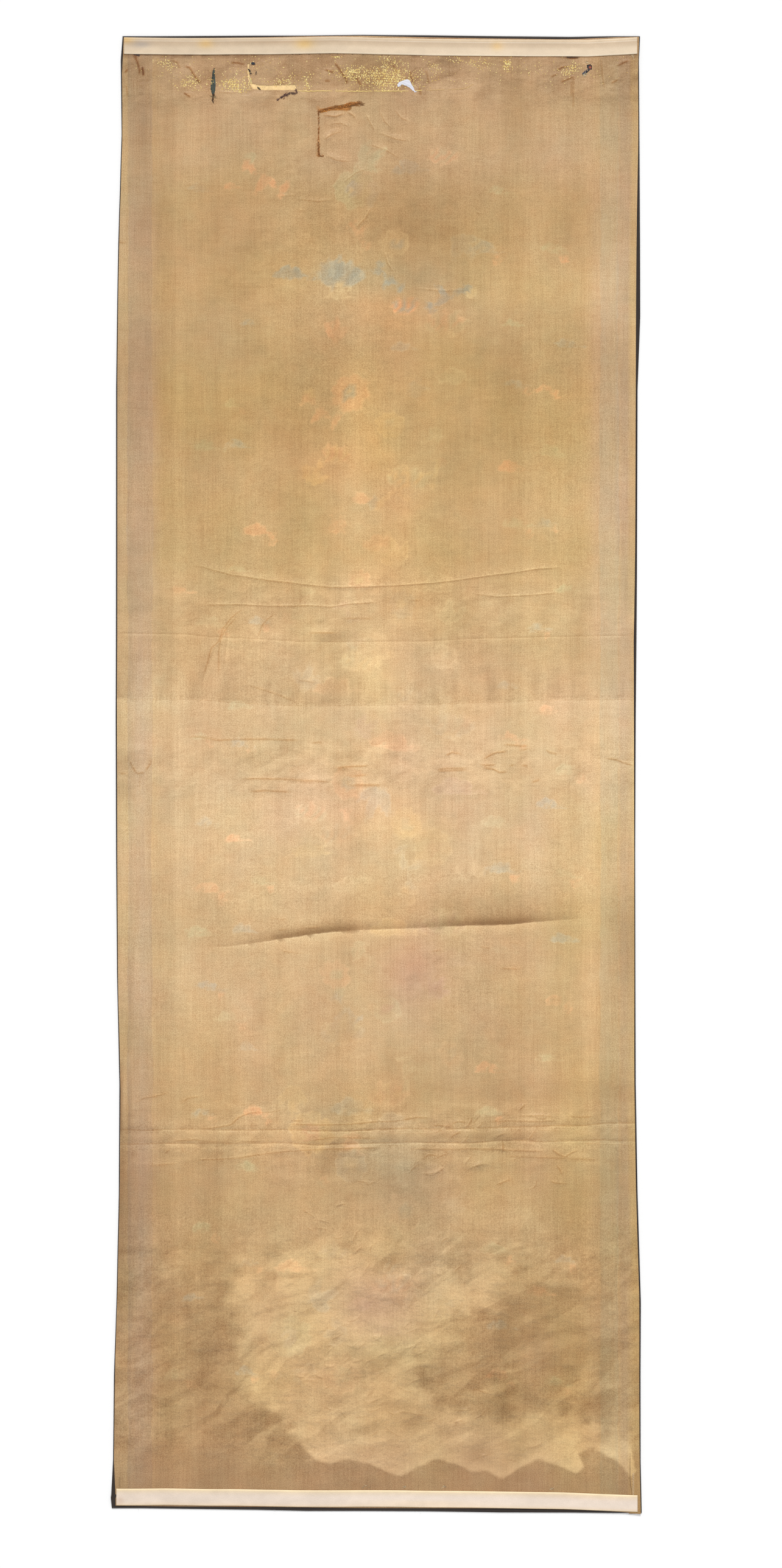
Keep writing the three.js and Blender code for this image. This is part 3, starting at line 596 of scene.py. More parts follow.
def cloud(across, down, size, hue):
    """A small curled cloud."""
    return [Petal(across + x * size, down + y * size, long * size, wide * size, turn, hue)
            for x, y, long, wide, turn in ((-0.75, 0.05, 0.38, 0.28, 0), (-0.2, -0.25, 0.42, 0.34, 0),
                                           (0.38, -0.12, 0.36, 0.3, 0), (0.1, 0.2, 0.9, 0.2, 0),
                                           (1.05, 0.22, 0.4, 0.1, 12))]


def sprig(across, down, size, turn, hue, bud):
    """A bent twig with small leaves and a bud at its end."""
    petals = []
    for number in range(5):
        angle = math.radians(turn + 12 * number)
        x = across + size * 0.42 * number * math.cos(angle)
        y = down + size * 0.42 * number * math.sin(angle)
        swing = turn + (52 if number % 2 else -48)
        petals.append(Petal(x + 0.2 * size * math.cos(math.radians(swing)),
                            y + 0.2 * size * math.sin(math.radians(swing)),
                            0.34 * size, 0.13 * size, swing, hue))
    return petals + [Petal(x, y, 0.26 * size, 0.2 * size, turn, bud)]


# The design's rows: how far down, its hues, and how strongly it shows
ROWS = [
    (150, "coral green cloud", 1.1), (196, "cloud coral green", 1.2), (240, "coral cream cloud", 1.1),
    (286, "blue cloud blue", 1.6), (326, "coral blue cream", 1.5), (372, "coral cloud green", 1.3),
    (420, "green coral blue", 1.0), (470, "yellow green coral", 1.1), (512, "coral yellow cloud", 1.1),
    (556, "yellow coral green", 1.1), (600, "coral cloud coral", 0.9), (650, "coral yellow green", 0.7),
    (700, "green purple cloud", 0.5), (752, "yellow cream green", 0.6), (800, "coral cream cloud", 0.5),
    (850, "cloud purple coral", 0.6), (898, "cloud purple coral", 0.7), (940, "coral yellow green", 0.7),
    (985, "yellow coral cloud", 0.6), (1035, "yellow cream green", 0.6), (1090, "green yellow purple", 0.7),
    (1130, "purple coral green", 0.9), (1176, "green purple cloud", 0.8), (1226, "cloud green coral", 0.5),
    (1280, "yellow cloud coral", 0.8), (1316, "cloud yellow coral", 0.8), (1366, "cloud green purple", 0.6),
    (1420, "cloud green coral", 0.5), (1476, "cloud coral green", 0.6), (1524, "purple coral cloud", 0.9),
    (1566, "green cloud purple", 0.8), (1610, "green cloud coral", 0.5),
]


def design():
    """The woven design: each motif's petals, the hue of its rim and how strongly it shows."""
    random = np.random.default_rng(61)
    motifs = []
    for number, (down, hues, strength) in enumerate(ROWS):
        hues = hues.split()
        for place, across in enumerate((-90, -34, 22, 78)):
            if abs(across + 6) > 60 and random.uniform() < 0.4:
                continue
            x, y = across + random.uniform(-18, 18), down + random.uniform(-14, 14)
            size, turn = random.uniform(13, 27), random.uniform(-180, 180)
            hue, other = hues[(place + number) % 3], hues[(place + number + 1) % 3]
            kind = (place * 2 + number * 3) % 5
            motif = (peony(x, y, size, hue, other, "cream") if kind == 0
                     else lotus(x, y, 1.2 * size, hue, other, "cream") if kind == 1
                     else leaves(x, y, 1.5 * size, turn, hue) if kind == 2
                     else sprig(x, y, 1.3 * size, turn, hue, other) if kind == 3
                     else cloud(x, y, size, hue))
            strength = strength * random.uniform(0.6, 1.25) * (0.9 if down < 1240 else 0.75)
            motifs.append((motif, "cream", strength))
    hues = ("cloud", "coral", "green", "cloud", "green")
    for row, down in enumerate(range(206, 1640, 74)):
        for place, across in enumerate((-222, -160, 150, 214)):
            if random.uniform() < 0.25:
                continue
            x, y = across + random.uniform(-20, 20), down + random.uniform(-24, 24)
            size = random.uniform(9, 15)
            hue = hues[(place + row) % 5]
            small = ring(x + 1.2 * size, y + 0.9 * size, 4, 0.3 * size, 0.22 * size, 0.18 * size, 20, "coral")
            motifs.append((cloud(x, y, size, hue) + (small if row % 2 else []), "cream",
                           (1.3 if down < 720 else 0.95) * random.uniform(0.6, 1.3)))
    return motifs


DESIGN = design()


def petal_gap(petal, across, down, more=0.0):
    """How far inside a petal each place is; more makes the petal that much larger."""
    turn = math.radians(petal.turn)
    x, y = across - petal.across, down - petal.down
    u = x * math.cos(turn) + y * math.sin(turn)
    v = y * math.cos(turn) - x * math.sin(turn)
    least = min(petal.long, petal.wide) + more
    return (1 - np.hypot(u / (petal.long + more), v / (petal.wide + more))) * least


def painted(colours, across, down, choose, rim, soft):
    """The design laid over a ground. choose gives a hue's colour and how strongly it covers."""
    for petals, rim_hue, strength in DESIGN:
        for more, hue in ((rim, rim_hue), (0, None)):
            for petal in petals:
                reach = petal.long + petal.wide + rim + soft
                used = (np.abs(across - petal.across) < reach) & (np.abs(down - petal.down) < reach)
                if not used.any():
                    continue
                cover = smooth(petal_gap(petal, across[used], down[used], more) / soft + 0.5)
                colour, share = choose(hue or petal.hue, strength)
                cover = (cover * share)[:, None]
                colours[used] += (colour - colours[used]) * cover
    return colours


def nearest_on(outline, across, down):
    """The nearest point of a closed outline to each place."""
    best = np.full(across.shape, 1e9)
    to_across, to_down = across.copy(), down.copy()
    for (ax, ay), (bx, by) in zip(outline, outline[1:] + outline[:1]):
        ux, uy = bx - ax, by - ay
        t = np.clip(((across - ax) * ux + (down - ay) * uy) / (ux * ux + uy * uy), 0, 1)
        gap = np.hypot(across - ax - t * ux, down - ay - t * uy)
        to_across = np.where(gap < best, ax + t * ux, to_across)
        to_down = np.where(gap < best, ay + t * uy, to_down)
        best = np.minimum(best, gap)
    return best, to_across, to_down


def inside_outline(outline, across, down):
    """How far inside a closed outline each place is, below zero outside it."""
    gap = nearest_on(outline, across, down)[0]
    inside = np.zeros(across.shape, bool)
    for (ax, ay), (bx, by) in zip(outline, outline[1:] + outline[:1]):
        if ay != by:
            crossing = (down > min(ay, by)) & (down <= max(ay, by))
            inside ^= crossing & (across < ax + (down - ay) * (bx - ax) / (by - ay))
    return np.where(inside, gap, -gap)


def tone_line(across):
    """How far down the step in the lining's tone lies."""
    places, downs = zip(*MAIN_FOLDS[4].path)
    return np.interp(across, places, downs)


def lining_colour(across, down):
    """The lining's colour at each place, before its weave, with painted shade, shadow and sheen."""
    past = smooth((down - tone_line(across)) / 3 + 0.5)
    tone, cool = (upper + (lower - upper) * past for upper, lower in (
        (np.interp(down, above[0], above[part]), np.interp(down, below[0], below[part]))
        for part in (1, 2) for above, below in [(list(zip(*UPPER_TONES)), list(zip(*LOWER_TONES)))]))
    for weight, wide, tall, seed in TONE_NOISES:
        tone *= 1 + weight * soft_noise(across, down, wide, tall, seed)
    # Painted sheen: a faint mottle of light and shade over the lower satin
    low = smooth((down - 1560) / 60) * smooth((1745 - down) / 20)
    tone *= 1 + 0.045 * low * soft_noise(across, down, 26, 12, 24)
    # Painted shadow: a thin dark line just under the top tape's lower edge
    seam = down - tape_lines["tape_top"](across) - TAPE_WIDTH
    tone *= 1 - 0.26 * np.exp(-((seam - 0.9) / 0.9) ** 2) * (0.75 + 0.5 * soft_noise(across, down, 3, 3, 50))
    # Painted light and shade of soft slanting pleats above the tone step
    line = tone_line(across)
    pleats = smooth((down - line + 72) / 60) * smooth((line - down) / 2 + 0.5)
    lean = across + np.where(across < 0, 0.35, -0.1) * (down - line)
    tone *= 1 + 0.045 * pleats * soft_noise(lean, down, 6, 60, 47)
    # Painted shade and soil along the creases' lines
    crease_shade_and_soil = np.ones(across.shape)
    for crease in CREASES:
        used = near(crease, across, down)
        if crease.dirt < 1 and used.any():
            gap, _, ends = crease_place(crease, across[used], down[used])
            crease_shade_and_soil[used] *= 1 - (1 - crease.dirt) * np.exp(-(gap / 1.1) ** 2) * ends
    for line in SHADES:
        used = near(line, across, down, 2.2 * max(line.above_reach, line.below_reach))
        if used.any():
            gap, side, ends = crease_place(line, across[used], down[used])
            change = np.where(side < 0, line.above * np.exp(-(gap / line.above_reach) ** 2),
                              line.below * np.exp(-(gap / line.below_reach) ** 2))
            tone[used] *= 1 + change * ends
    worn = smooth(inside_outline(SCAR, across, down) / 0.9 + 0.75)
    # Soft patches of tone, partly painted sheen and shade
    for x, y, wide, tall, factor in PATCHES:
        reach = ((across - x) / wide) ** 2 + ((down - y) / tall) ** 2
        tone *= 1 + (factor - 1) * np.exp(-reach)
    colour = SILK * tone[:, None] ** SILK_DEPTH * crease_shade_and_soil[:, None] ** np.array([0.75, 1.3, 2.1])
    # Painted shade in a band just above the broad fold's foot
    path = np.array(BROAD_FOOT)
    above = np.interp(across, path[:, 0], path[:, 1]) - down
    band = smooth(above / 1.5) * np.exp(-np.clip(above - 4, 0, None) / 5) * smooth((above + 1) / 2)
    deep = sum(strength * np.exp(-((across - x) / wide) ** 2) for x, wide, strength in BROAD_SHADE)
    colour *= 1 - (deep * band)[:, None] * np.array([0.75, 1.05, 1.6])
    middle = smooth((across + 272) / 16) * smooth((268 - across) / 16)
    colour[:, 2] *= 1 + (cool - 1) * middle
    colour[:, 2] *= 1 - 0.045 * smooth((across - 190) / 50) * smooth((down - 800) / 200)
    for start, stop, soft, change in SIDE_BANDS:
        cover = smooth((across - start) / soft + 0.5) * smooth((stop - across) / soft + 0.5)
        colour *= 1 + (np.array(change) - 1) * cover[:, None]
    colour[:, 0] *= 1 + 0.014 * soft_noise(across, down, 24, 34, 45)
    colour[:, 2] *= 1 + 0.020 * soft_noise(across, down, 26, 30, 46)
    for hue, x, y, wide, tall, strength in TINTED:
        reach = ((across - x) / wide) ** 2 + ((down - y) / tall) ** 2
        colour *= 1 + (np.array(HUES[hue][0]) - 1) * (strength * np.exp(-reach))[:, None]
    fibre = 1 + 0.25 * soft_noise(across, down, 5, 1.4, 48)
    colour += (np.array([0.60, 0.40, 0.20]) * fibre[:, None] - colour) * worn[:, None]
    return np.hstack([linear(colour), np.ones((len(across), 1))])


def ghost(across, down):
    """The design as it shows through the lining: its tint, and how far inside it each place is."""
    bent_x = across + 3 * soft_noise(across, down, 24, 24, 28)
    bent_y = down + 3 * soft_noise(across, down, 24, 24, 29)
    gap = np.full(across.shape, -GHOST_REACH)
    tint = np.ones((len(across), 3))
    for petals, _, strength in DESIGN:
        for petal in petals:
            reach = max(petal.long, petal.wide) + GHOST_REACH
            used = np.flatnonzero((np.abs(bent_x - petal.across) < reach)
                                  & (np.abs(bent_y - petal.down) < reach))
            here = petal_gap(petal, bent_x[used], bent_y[used])
            nearer = here > gap[used]
            gap[used[nearer]] = here[nearer]
            tint[used[nearer]] = 1 + (np.array(HUES[petal.hue][0]) - 1) * strength
    return tint ** 2.2, gap


def fold_lines(across, down):
    """How far each place is past its nearest fold line, counted from its side painted bright to its
    side painted dark, and how strongly that painted highlight and shade shows."""
    best, past, strength = np.full(across.shape, 6.0), np.full(across.shape, 6.0), 0 * across
    foot = Crease(BROAD_FOOT, -0.4, 6, 6, True, 60)
    for crease in CREASES + [foot]:
        used = np.flatnonzero(near(crease, across, down, 6))
        if not len(used):
            continue
        gap, side, ends = crease_place(crease, across[used], down[used])
        closer = gap < best[used]
        used, gap, side, ends = used[closer], gap[closer], side[closer], ends[closer]
        best[used] = gap
        past[used] = gap * side * np.sign(crease.height)
        strength[used] = ends * min(1, abs(crease.height) / 0.9) * (1 - smooth((gap - 2.5) / 2.5))
    return np.stack([past, strength, 0 * across, 0 * across + 1], 1)


# Where the lining is more crumpled: from and to how far down, how softly it begins, how much more
CRUMPLED = [
    (-50, 100, 30, 0.5), (640, 760, 40, 0.2), (845, 925, 20, 0.35), (1285, 1375, 14, 0.35),
    (1420, 1752, 60, 0.6),
]


def crumpled(across, down):
    """How crumpled the lining is at each place."""
    amount = 0.33 + 0.1 * soft_noise(across, down, 60, 60, 35)
    for start, stop, soft, more in CRUMPLED:
        amount = amount + more * smooth((down - start) / soft) * smooth((stop - down) / soft)
    return np.clip(amount - 0.14 * smooth((np.abs(across + 10) - 130) / 70), 0.08, 1)


def lining_marks(across, down):
    """How crumpled, how far inside the design, how far inside the painted shine and how strongly the sheen is
    painted.
    """
    warp_x = 9 * soft_noise(across, down, 34, 26, 25)
    warp_y = 5 * soft_noise(across, down, 40, 22, 26) * smooth((1700 - down) / 30)
    shine = inside_outline(SHINE, across + warp_x, down + warp_y)
    soft = 44 - 24 * smooth((down - 1540) / 100) - 15.5 * smooth((down - 1690) / 25)
    # Painted sheen: how strongly the shine is painted, with a painted highlight along its lower rim
    painted_sheen = 0.05 + 0.12 * smooth((down - 1440) / 150)
    painted_sheen += 0.08 * np.exp(-((shine - 4) / 4) ** 2) * smooth((down - 1695) / 20)
    return np.stack([crumpled(across, down), ghost(across, down)[1] / GHOST_REACH,
                     np.clip(shine / soft + 0.5, -2, 3), painted_sheen], 1)


def side_bands(across, down):
    """How far inside the two bands at the sides each place is, in millimetres."""
    sway = 1.2 * soft_noise(0 * across, down, 20, 26, 36) + 0.5 * soft_noise(0 * across, down, 20, 7, 37)
    left = np.minimum(across + 300 + sway, -270.5 - across + sway)
    right = np.minimum(across - 270 + sway, 292 - across + sway)
    return np.stack([np.clip(left, -12, 12), np.clip(right, -12, 12), 0 * across, 0 * across + 1], 1)


# Meshes


def point_row(across, down, height):
    """Places in Blender's metres."""
    return np.stack([across * MM, (LENGTH / 2 - down) * MM, height * MM], 1)


def new_piece(name, points, faces, material, replaces=()):
    """One piece that rides on the panel, with smooth faces."""
    mesh = bpy.data.meshes.new(name)
    mesh.from_pydata(points.tolist(), [], faces)
    mesh.validate()
    mesh.polygons.foreach_set("use_smooth", np.ones(len(mesh.polygons), bool))
    mesh.materials.append(material)
    piece = bpy.data.objects.new(name, mesh)
    bpy.context.scene.collection.objects.link(piece)
    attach(piece, "root")
    if replaces:
        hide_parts(*replaces)
    return piece


def paint_points(piece, name, colours):
    """A colour for each of a piece's points."""
    layer = piece.data.attributes.new(name, "FLOAT_COLOR", "POINT")
    layer.data.foreach_set("color", np.asarray(colours, np.float32).ravel())


def map_points(piece, u, v):
    """A flat map for a piece, from two numbers for each point."""
    mesh = piece.data
    corners = np.zeros(len(mesh.loops), int)
    mesh.loops.foreach_get("vertex_index", corners)
    layer = mesh.uv_layers.new(name="OFBake")
    layer.uv.foreach_set("vector", np.stack([u[corners], v[corners]], 1).astype(np.float32).ravel())


def cut_cells(columns, rows, cuts_across, cuts_down):
    """Faces of a grid whose cells are cut finer in places.

    Returns each point's column and row, in units of a cell's smallest cut, and the faces,
    which have an extra corner wherever a finer neighbour has one.
    """
    used = np.zeros((rows * CUTS + 1, columns * CUTS + 1), bool)
    quads = []
    for r in range(rows):
        for c in range(columns):
            step_x, step_y = CUTS // cuts_across[r, c], CUTS // cuts_down[r, c]
            for y in range(r * CUTS, (r + 1) * CUTS, step_y):
                for x in range(c * CUTS, (c + 1) * CUTS, step_x):
                    quads.append((x, y, x + step_x, y + step_y))
    box = np.array(quads)
    for x, y in ((0, 1), (2, 1), (2, 3), (0, 3)):
        used[box[:, y], box[:, x]] = True
    number = np.full(used.shape, -1)
    number[used] = np.arange(used.sum())
    row, column = np.nonzero(used)
    faces = []
    for x0, y0, x1, y1 in quads:
        bottom = number[y1, x0:x1]
        top = number[y0, x0 + 1:x1 + 1][::-1]
        right = number[y0 + 1:y1 + 1, x1][::-1]
        left = number[y0:y1, x0]
        loop = np.concatenate([bottom, right, top, left])
        faces.append(loop[loop >= 0].tolist())
    return column, row, faces


def finer_cells(columns, rows):
    """How many times each of the lining's cells is cut across and down, from the creases."""
    across_cuts = np.ones((rows, columns), int)
    down_cuts = np.ones((rows, columns), int)

    def mark(across, down, reach_x, reach_y, cuts_x, cuts_y):
        c0 = int((across - reach_x + HALF_WIDTH) / (2 * HALF_WIDTH) * columns)
        c1 = int((across + reach_x + HALF_WIDTH) / (2 * HALF_WIDTH) * columns)
        r0 = int((down - reach_y) / LENGTH * rows)
        r1 = int((down + reach_y) / LENGTH * rows)
        here = np.s_[max(r0, 0):min(r1, rows - 1) + 1, max(c0, 0):min(c1, columns - 1) + 1]
        across_cuts[here] = np.maximum(across_cuts[here], cuts_x)
        down_cuts[here] = np.maximum(down_cuts[here], cuts_y)

    mark(0, 50, HALF_WIDTH, 23, CUTS, CUTS)
    mark(-45, 89, 28, 9, CUTS, CUTS)
    mark(-69, 122, 4, 28, CUTS, CUTS)
    lines = [(crease.path, 4 if min(crease.above, crease.below) < 3.1 else 2) for crease in CREASES]
    lines += [(BROAD_FOOT, 4)]
    lines += [([(x, y - rise) for x, y in BROAD_FOOT], 2) for rise in (5, 10)]
    for path, fine in lines:
        path = np.array(path, float)
        for a, b in zip(path[:-1], path[1:]):
            steps = max(2, int(np.hypot(*(b - a)) / 2))
            slanted = abs(b[1] - a[1]) > 0.3 * abs(b[0] - a[0])
            for t in np.linspace(0, 1, steps):
                x, y = a + (b - a) * t
                if slanted:
                    mark(x, y, 3, 3, fine, fine)
                else:
                    mark(x, y, 1, 2.5, 1, fine)
    return across_cuts, down_cuts


def grid_faces(rows, columns, wrap=False, first=0):
    """Faces between neighbouring places of a grid; wrap joins its last column to its first."""
    faces = []
    for row in range(rows - 1):
        for column in range(columns if wrap else columns - 1):
            beside = (column + 1) % columns
            here = first + row * columns
            faces.append((here + column, here + columns + column, here + columns + beside, here + beside))
    return faces


# Tears in the lining, each as an outline of (across, down) points
SLIT = [
    (-195.9, 40), (-195.2, 43.2), (-194.6, 52.4), (-193.9, 61), (-194.6, 67.1), (-195.8, 73.3),
    (-197, 76), (-197.8, 74.5), (-198.8, 70.8), (-200.1, 65.9), (-199.7, 61), (-198.8, 52.4),
    (-197.6, 43.2),
]
TEAR = [
    (-155.4, 34), (-153.6, 34.6), (-153.2, 43.9), (-152.8, 51.2), (-151.1, 58.5), (-143.1, 60.4),
    (-130.9, 60.9), (-114, 60.4), (-97.7, 60), (-96.4, 63.7), (-97.1, 66.8), (-114, 66.9),
    (-130.9, 67.2), (-143.1, 66.5), (-149.8, 65.3), (-152.6, 60.6), (-155.2, 52.4), (-155.8, 43.9),
]
HOLE = [
    (253.8, 36.7), (257.5, 35.8), (260.2, 38), (260.2, 41), (257.5, 43.5), (253.8, 47.2),
    (250.1, 49.2), (248.9, 48.4), (252, 45.3), (255.6, 42.3), (254.4, 39.8),
]
TEARS = (SLIT, TEAR, HOLE)

# Where the silk is worn through to brown fibres beside the cuts
SCAR = [
    (-71.3, 90.4), (-60.3, 88.9), (-50, 85.7), (-36.7, 84.2), (-32.3, 81.6), (-19.8, 81.3), (-25, 84.2),
    (-19.8, 85.3), (-30.1, 86.7), (-30.9, 90.4), (-35.3, 91.9), (-51.5, 91.3), (-60.3, 91.6),
    (-64.7, 94.1), (-69.2, 94.6), (-68.9, 146), (-65, 146.6), (-70.9, 148), (-70.9, 120),
]


def lining_height(across, down):
    """The height of the lining's upper side at each place."""
    left, right = lining_left(down), lining_right(down)
    under_tape = smooth((down - 25) / 6) * smooth((1756 - down) / 8)
    sides = smooth((across - left) / 8) * smooth((right - across) / 8)
    return LINING_TOP - 0.35 + relief(across, down) * under_tape * (0.15 + 0.85 * sides)


def add_lining(material):
    """The silk lining, its tears and its turned edges."""
    columns = round(2 * HALF_WIDTH / CELL)
    rows = round(LENGTH / CELL)
    column, row, faces = cut_cells(columns, rows, *finer_cells(columns, rows))
    u, v = column / (columns * CUTS), row / (rows * CUTS)
    nominal = v * LENGTH
    left, right = lining_left(nominal) + 0.4, lining_right(nominal) - 0.4
    across = left + (right - left) * u
    top, bottom = lining_top(across) + 0.4, lining_bottom(across) - 0.4
    down = top + (bottom - top) * v
    for outline in TEARS:
        gap, to_across, to_down = nearest_on(outline, across, down)
        close = gap < 0.62
        across = np.where(close, to_across, across)
        down = np.where(close, to_down, down)
    sizes = np.array([len(face) for face in faces])
    corners = np.concatenate(faces)
    starts = np.cumsum(sizes) - sizes
    middle_x = np.add.reduceat(across[corners], starts) / sizes
    middle_y = np.add.reduceat(down[corners], starts) / sizes
    keep = np.all([inside_outline(outline, middle_x, middle_y) <= 0 for outline in TEARS], 0)
    faces = [face for face, kept in zip(faces, keep) if kept]
    height = lining_height(across, down)

    # Each edge rolls over and turns under
    turns = []
    for edge, order, out_x, out_y in ((column == 0, row, -1, 0), (row == rows * CUTS, column, 0, 1),
                                      (column == columns * CUTS, -row, 1, 0), (row == 0, -column, 0, -1)):
        at = np.flatnonzero(edge)
        turns.append((at[np.argsort(order[at])], out_x, out_y))
    points = [across, down, height]
    used_u, used_v = [u], [v]
    count = len(across)
    for at, out_x, out_y in turns:
        ring_before = at
        for out, drop in ((0.3, 0.15), (0.4, 0.5), (0.2, 0.85), (-HEM, 0.95)):
            new = np.arange(count, count + len(at))
            count += len(at)
            points = [np.concatenate([points[0], across[at] + out * out_x]),
                      np.concatenate([points[1], down[at] + out * out_y]),
                      np.concatenate([points[2], height[at] - drop])]
            used_u.append(u[at])
            used_v.append(v[at])
            faces += list(zip(ring_before[:-1], new[:-1], new[1:], ring_before[1:]))
            ring_before = new
    across, down, height = points
    u, v = np.concatenate(used_u), np.concatenate(used_v)
    piece = new_piece("lining_silk", point_row(across, down, height), faces, material,
                      ["lining"])
    paint_points(piece, "tint", lining_colour(across, down))
    paint_points(piece, "marks", lining_marks(across, down))
    paint_points(piece, "bands", side_bands(across, down))
    paint_points(piece, "lines", fold_lines(across, down))
    paint_points(piece, "ghost", np.hstack([ghost(across, down)[0], np.ones((len(across), 1))]))
    map_points(piece, u, 1 - v)
    return piece


# The black border: how far in from its outer edge, and how high, each line of its fold runs
BORDER_FOLD = [
    (36, 1.2), (22, 1.2), (10, 1.2), (4, 1.2), (1.6, 1.16), (0.5, 0.98), (0, 0.64), (0.5, 0.3),
    (1.6, 0.12), (4, 0.08), (10, 0.08), (22, 0.08), (36, 0.08),
]


def corner_inside(inwards, at_right, at_bottom):
    """The border's corner, moved in from both edges."""
    side = border_right if at_right else border_left
    end = border_bottom if at_bottom else border_top
    across, down = side(LENGTH if at_bottom else 0), 0
    for _ in range(6):
        down = end(across) + (-inwards if at_bottom else inwards)
        across = side(down) + (-inwards if at_right else inwards)
    return across, down


def bunched(across, down):
    """How strongly the cloth is gathered up at its lower left corner."""
    return np.exp(-((down - 1766) / 9) ** 2 - ((across + 317) / 5) ** 2)


def add_border(name, edge, material):
    """One folded strip of the border, mitred at both ends."""
    on_side = name.endswith(("left", "right"))
    steps = np.linspace(0, 1, 420 if on_side else 170)
    lines = []
    for inwards, high in BORDER_FOLD:
        flag = name.endswith("right") if on_side else name.endswith("bottom")
        ends = [corner_inside(inwards, *((flag, far) if on_side else (far, flag))) for far in (False, True)]
        out = -inwards if flag else inwards
        if on_side:
            down = ends[0][1] + (ends[1][1] - ends[0][1]) * steps
            across = edge(down) + out
        else:
            across = ends[0][0] + (ends[1][0] - ends[0][0]) * steps
            down = edge(across) + out
        lift = bunched(across, down) if high > 0.3 else 0 * across
        wave = soft_noise(across, down, 5, 4, 31)
        height = high + 0.06 * wave * (high > 1) + lift * (1.3 + 0.9 * soft_noise(across, down, 2.5, 2.5, 32))
        across = across + 0.5 * lift * soft_noise(across, down, 3, 3, 33)
        lines.append(point_row(across, down, np.minimum(height, 4.6)))
    points = np.stack(lines, 1).reshape(-1, 3)
    faces = grid_faces(len(steps), len(BORDER_FOLD))
    if name.endswith(("right", "top")):
        faces = [face[::-1] for face in faces]
    piece = new_piece("satin_" + name, points, faces, material, [name])
    length = (LENGTH if on_side else 2 * HALF_WIDTH) - 30
    length * MM
    return piece


# The tapes: places across their width, and how high each runs on the upper side
TAPE_EDGE = [(0, 2.5), (0, 2.95), (0.35, 3.3), (1, 3.45)]
TAPE_LINES = [1.6, 2.3, 3, 3.5, 4, 4.6, 5.4, 7, 9, 11, 13, 15, 16.4, 17.6, 18.4]


def tape_colour(is_top, across, place):
    """The tape's colour, from its upper edge at 0 to its lower edge at 20."""
    if is_top:
        lines = [(0, 238, 221, 194), (0.5, 228, 205, 174), (2.4, 226, 202, 171), (3.0, 214, 190, 160),
                 (3.6, 240, 224, 202), (4.2, 216, 192, 163), (5.4, 212, 188, 159), (9, 220, 197, 168),
                 (12, 232, 211, 183), (18, 233, 212, 184), (19.2, 245, 229, 203), (20, 238, 218, 188)]
        stains = [(-205.8, 7, 9, 5, (1.05, 0.99, 0.82)), (-86.7, 8, 11, 6, (1.05, 0.99, 0.8)),
                  (145.5, 8, 7, 5, (1.04, 0.99, 0.86)), (-303, 3, 10, 4, (1.05, 0.98, 0.8)),
                  (-283.7, 8, 11, 4, (0.87, 0.90, 0.97)), (-120, 5, 50, 2, (0.96, 0.94, 0.92))]
    else:
        lines = [(0, 252, 231, 192), (1.4, 250, 228, 188), (1.9, 238, 216, 182), (4.5, 234, 215, 192),
                 (8, 236, 219, 203), (16, 235, 218, 201), (18.6, 236, 214, 190), (19.3, 248, 230, 200),
                 (20, 232, 208, 172)]
        stains = [(-309, 14, 4, 4, (0.95, 0.92, 0.9)), (60, 15, 60, 3, (1.01, 0.99, 0.95)),
                  (250, 5, 60, 3, (1.0, 0.985, 0.97))]
    table = np.array(lines, float)
    colour = np.stack([np.interp(place, table[:, 0], table[:, part]) for part in (1, 2, 3)], 1) / 255
    for at, middle, wide, tall, change in stains:
        gap = ((across - at) / wide) ** 2 + ((place - middle) / tall) ** 2
        colour *= 1 + (np.array(change) - 1) * np.exp(-gap)[:, None]
    aged = (0.935, 0.955, 0.965, 0.99) if is_top else (0.96, 0.975, 0.985, 0.985)
    colour *= np.interp(across, (-300, -150, 0, 300), aged)[:, None] ** np.array([1, 1.15, 1.35])
    colour *= 1 + 0.022 * soft_noise(across, place, 14, 7, 41)[:, None]
    colour *= 1 + 0.015 * soft_noise(across, place, 4, 2.5, 49)[:, None]
    return np.hstack([linear(colour), np.ones((len(across), 1))])


def add_tape(name, material):
    """One tape, as a flat closed band."""
    is_top = name == "tape_top"
    x = node_points(name)[0]
    across = np.linspace(x.min(), x.max(), 430)
    upper = tape_lines[name](across) + 0.25 * soft_noise(across, 0 * across, 26, 10, 42)
    profile = (TAPE_EDGE + [(place, 3.5) for place in TAPE_LINES]
               + [(TAPE_WIDTH - place, high) for place, high in TAPE_EDGE[::-1]] + [(10, 2.45)])
    lines = []
    for place, high in profile:
        sway = 0.22 * soft_noise(across, 0 * across + 3 * place, 34, 20, 43) * (high > 3)
        lines.append(np.stack([across, upper + place, high + sway], 1))
    grid = np.stack(lines, 1)
    count = grid.shape[1]
    points = point_row(*grid.reshape(-1, 3).T)
    last = (len(across) - 1) * count
    faces = grid_faces(len(across), count, wrap=True)
    faces += [tuple(range(count))[::-1], tuple(range(last, last + count))]
    piece = new_piece("cotton_" + name, points, [face[::-1] for face in faces], material,
                      [name])
    places = np.tile([place for place, _ in profile], len(across))
    flat = grid.reshape(-1, 3)
    paint_points(piece, "tint", tape_colour(is_top, flat[:, 0], places))
    (x.max() - x.min()) * MM
    return piece


# Loose threads, stitches and flakes of gilding
Strand = namedtuple("Strand", "path lift radius colour")


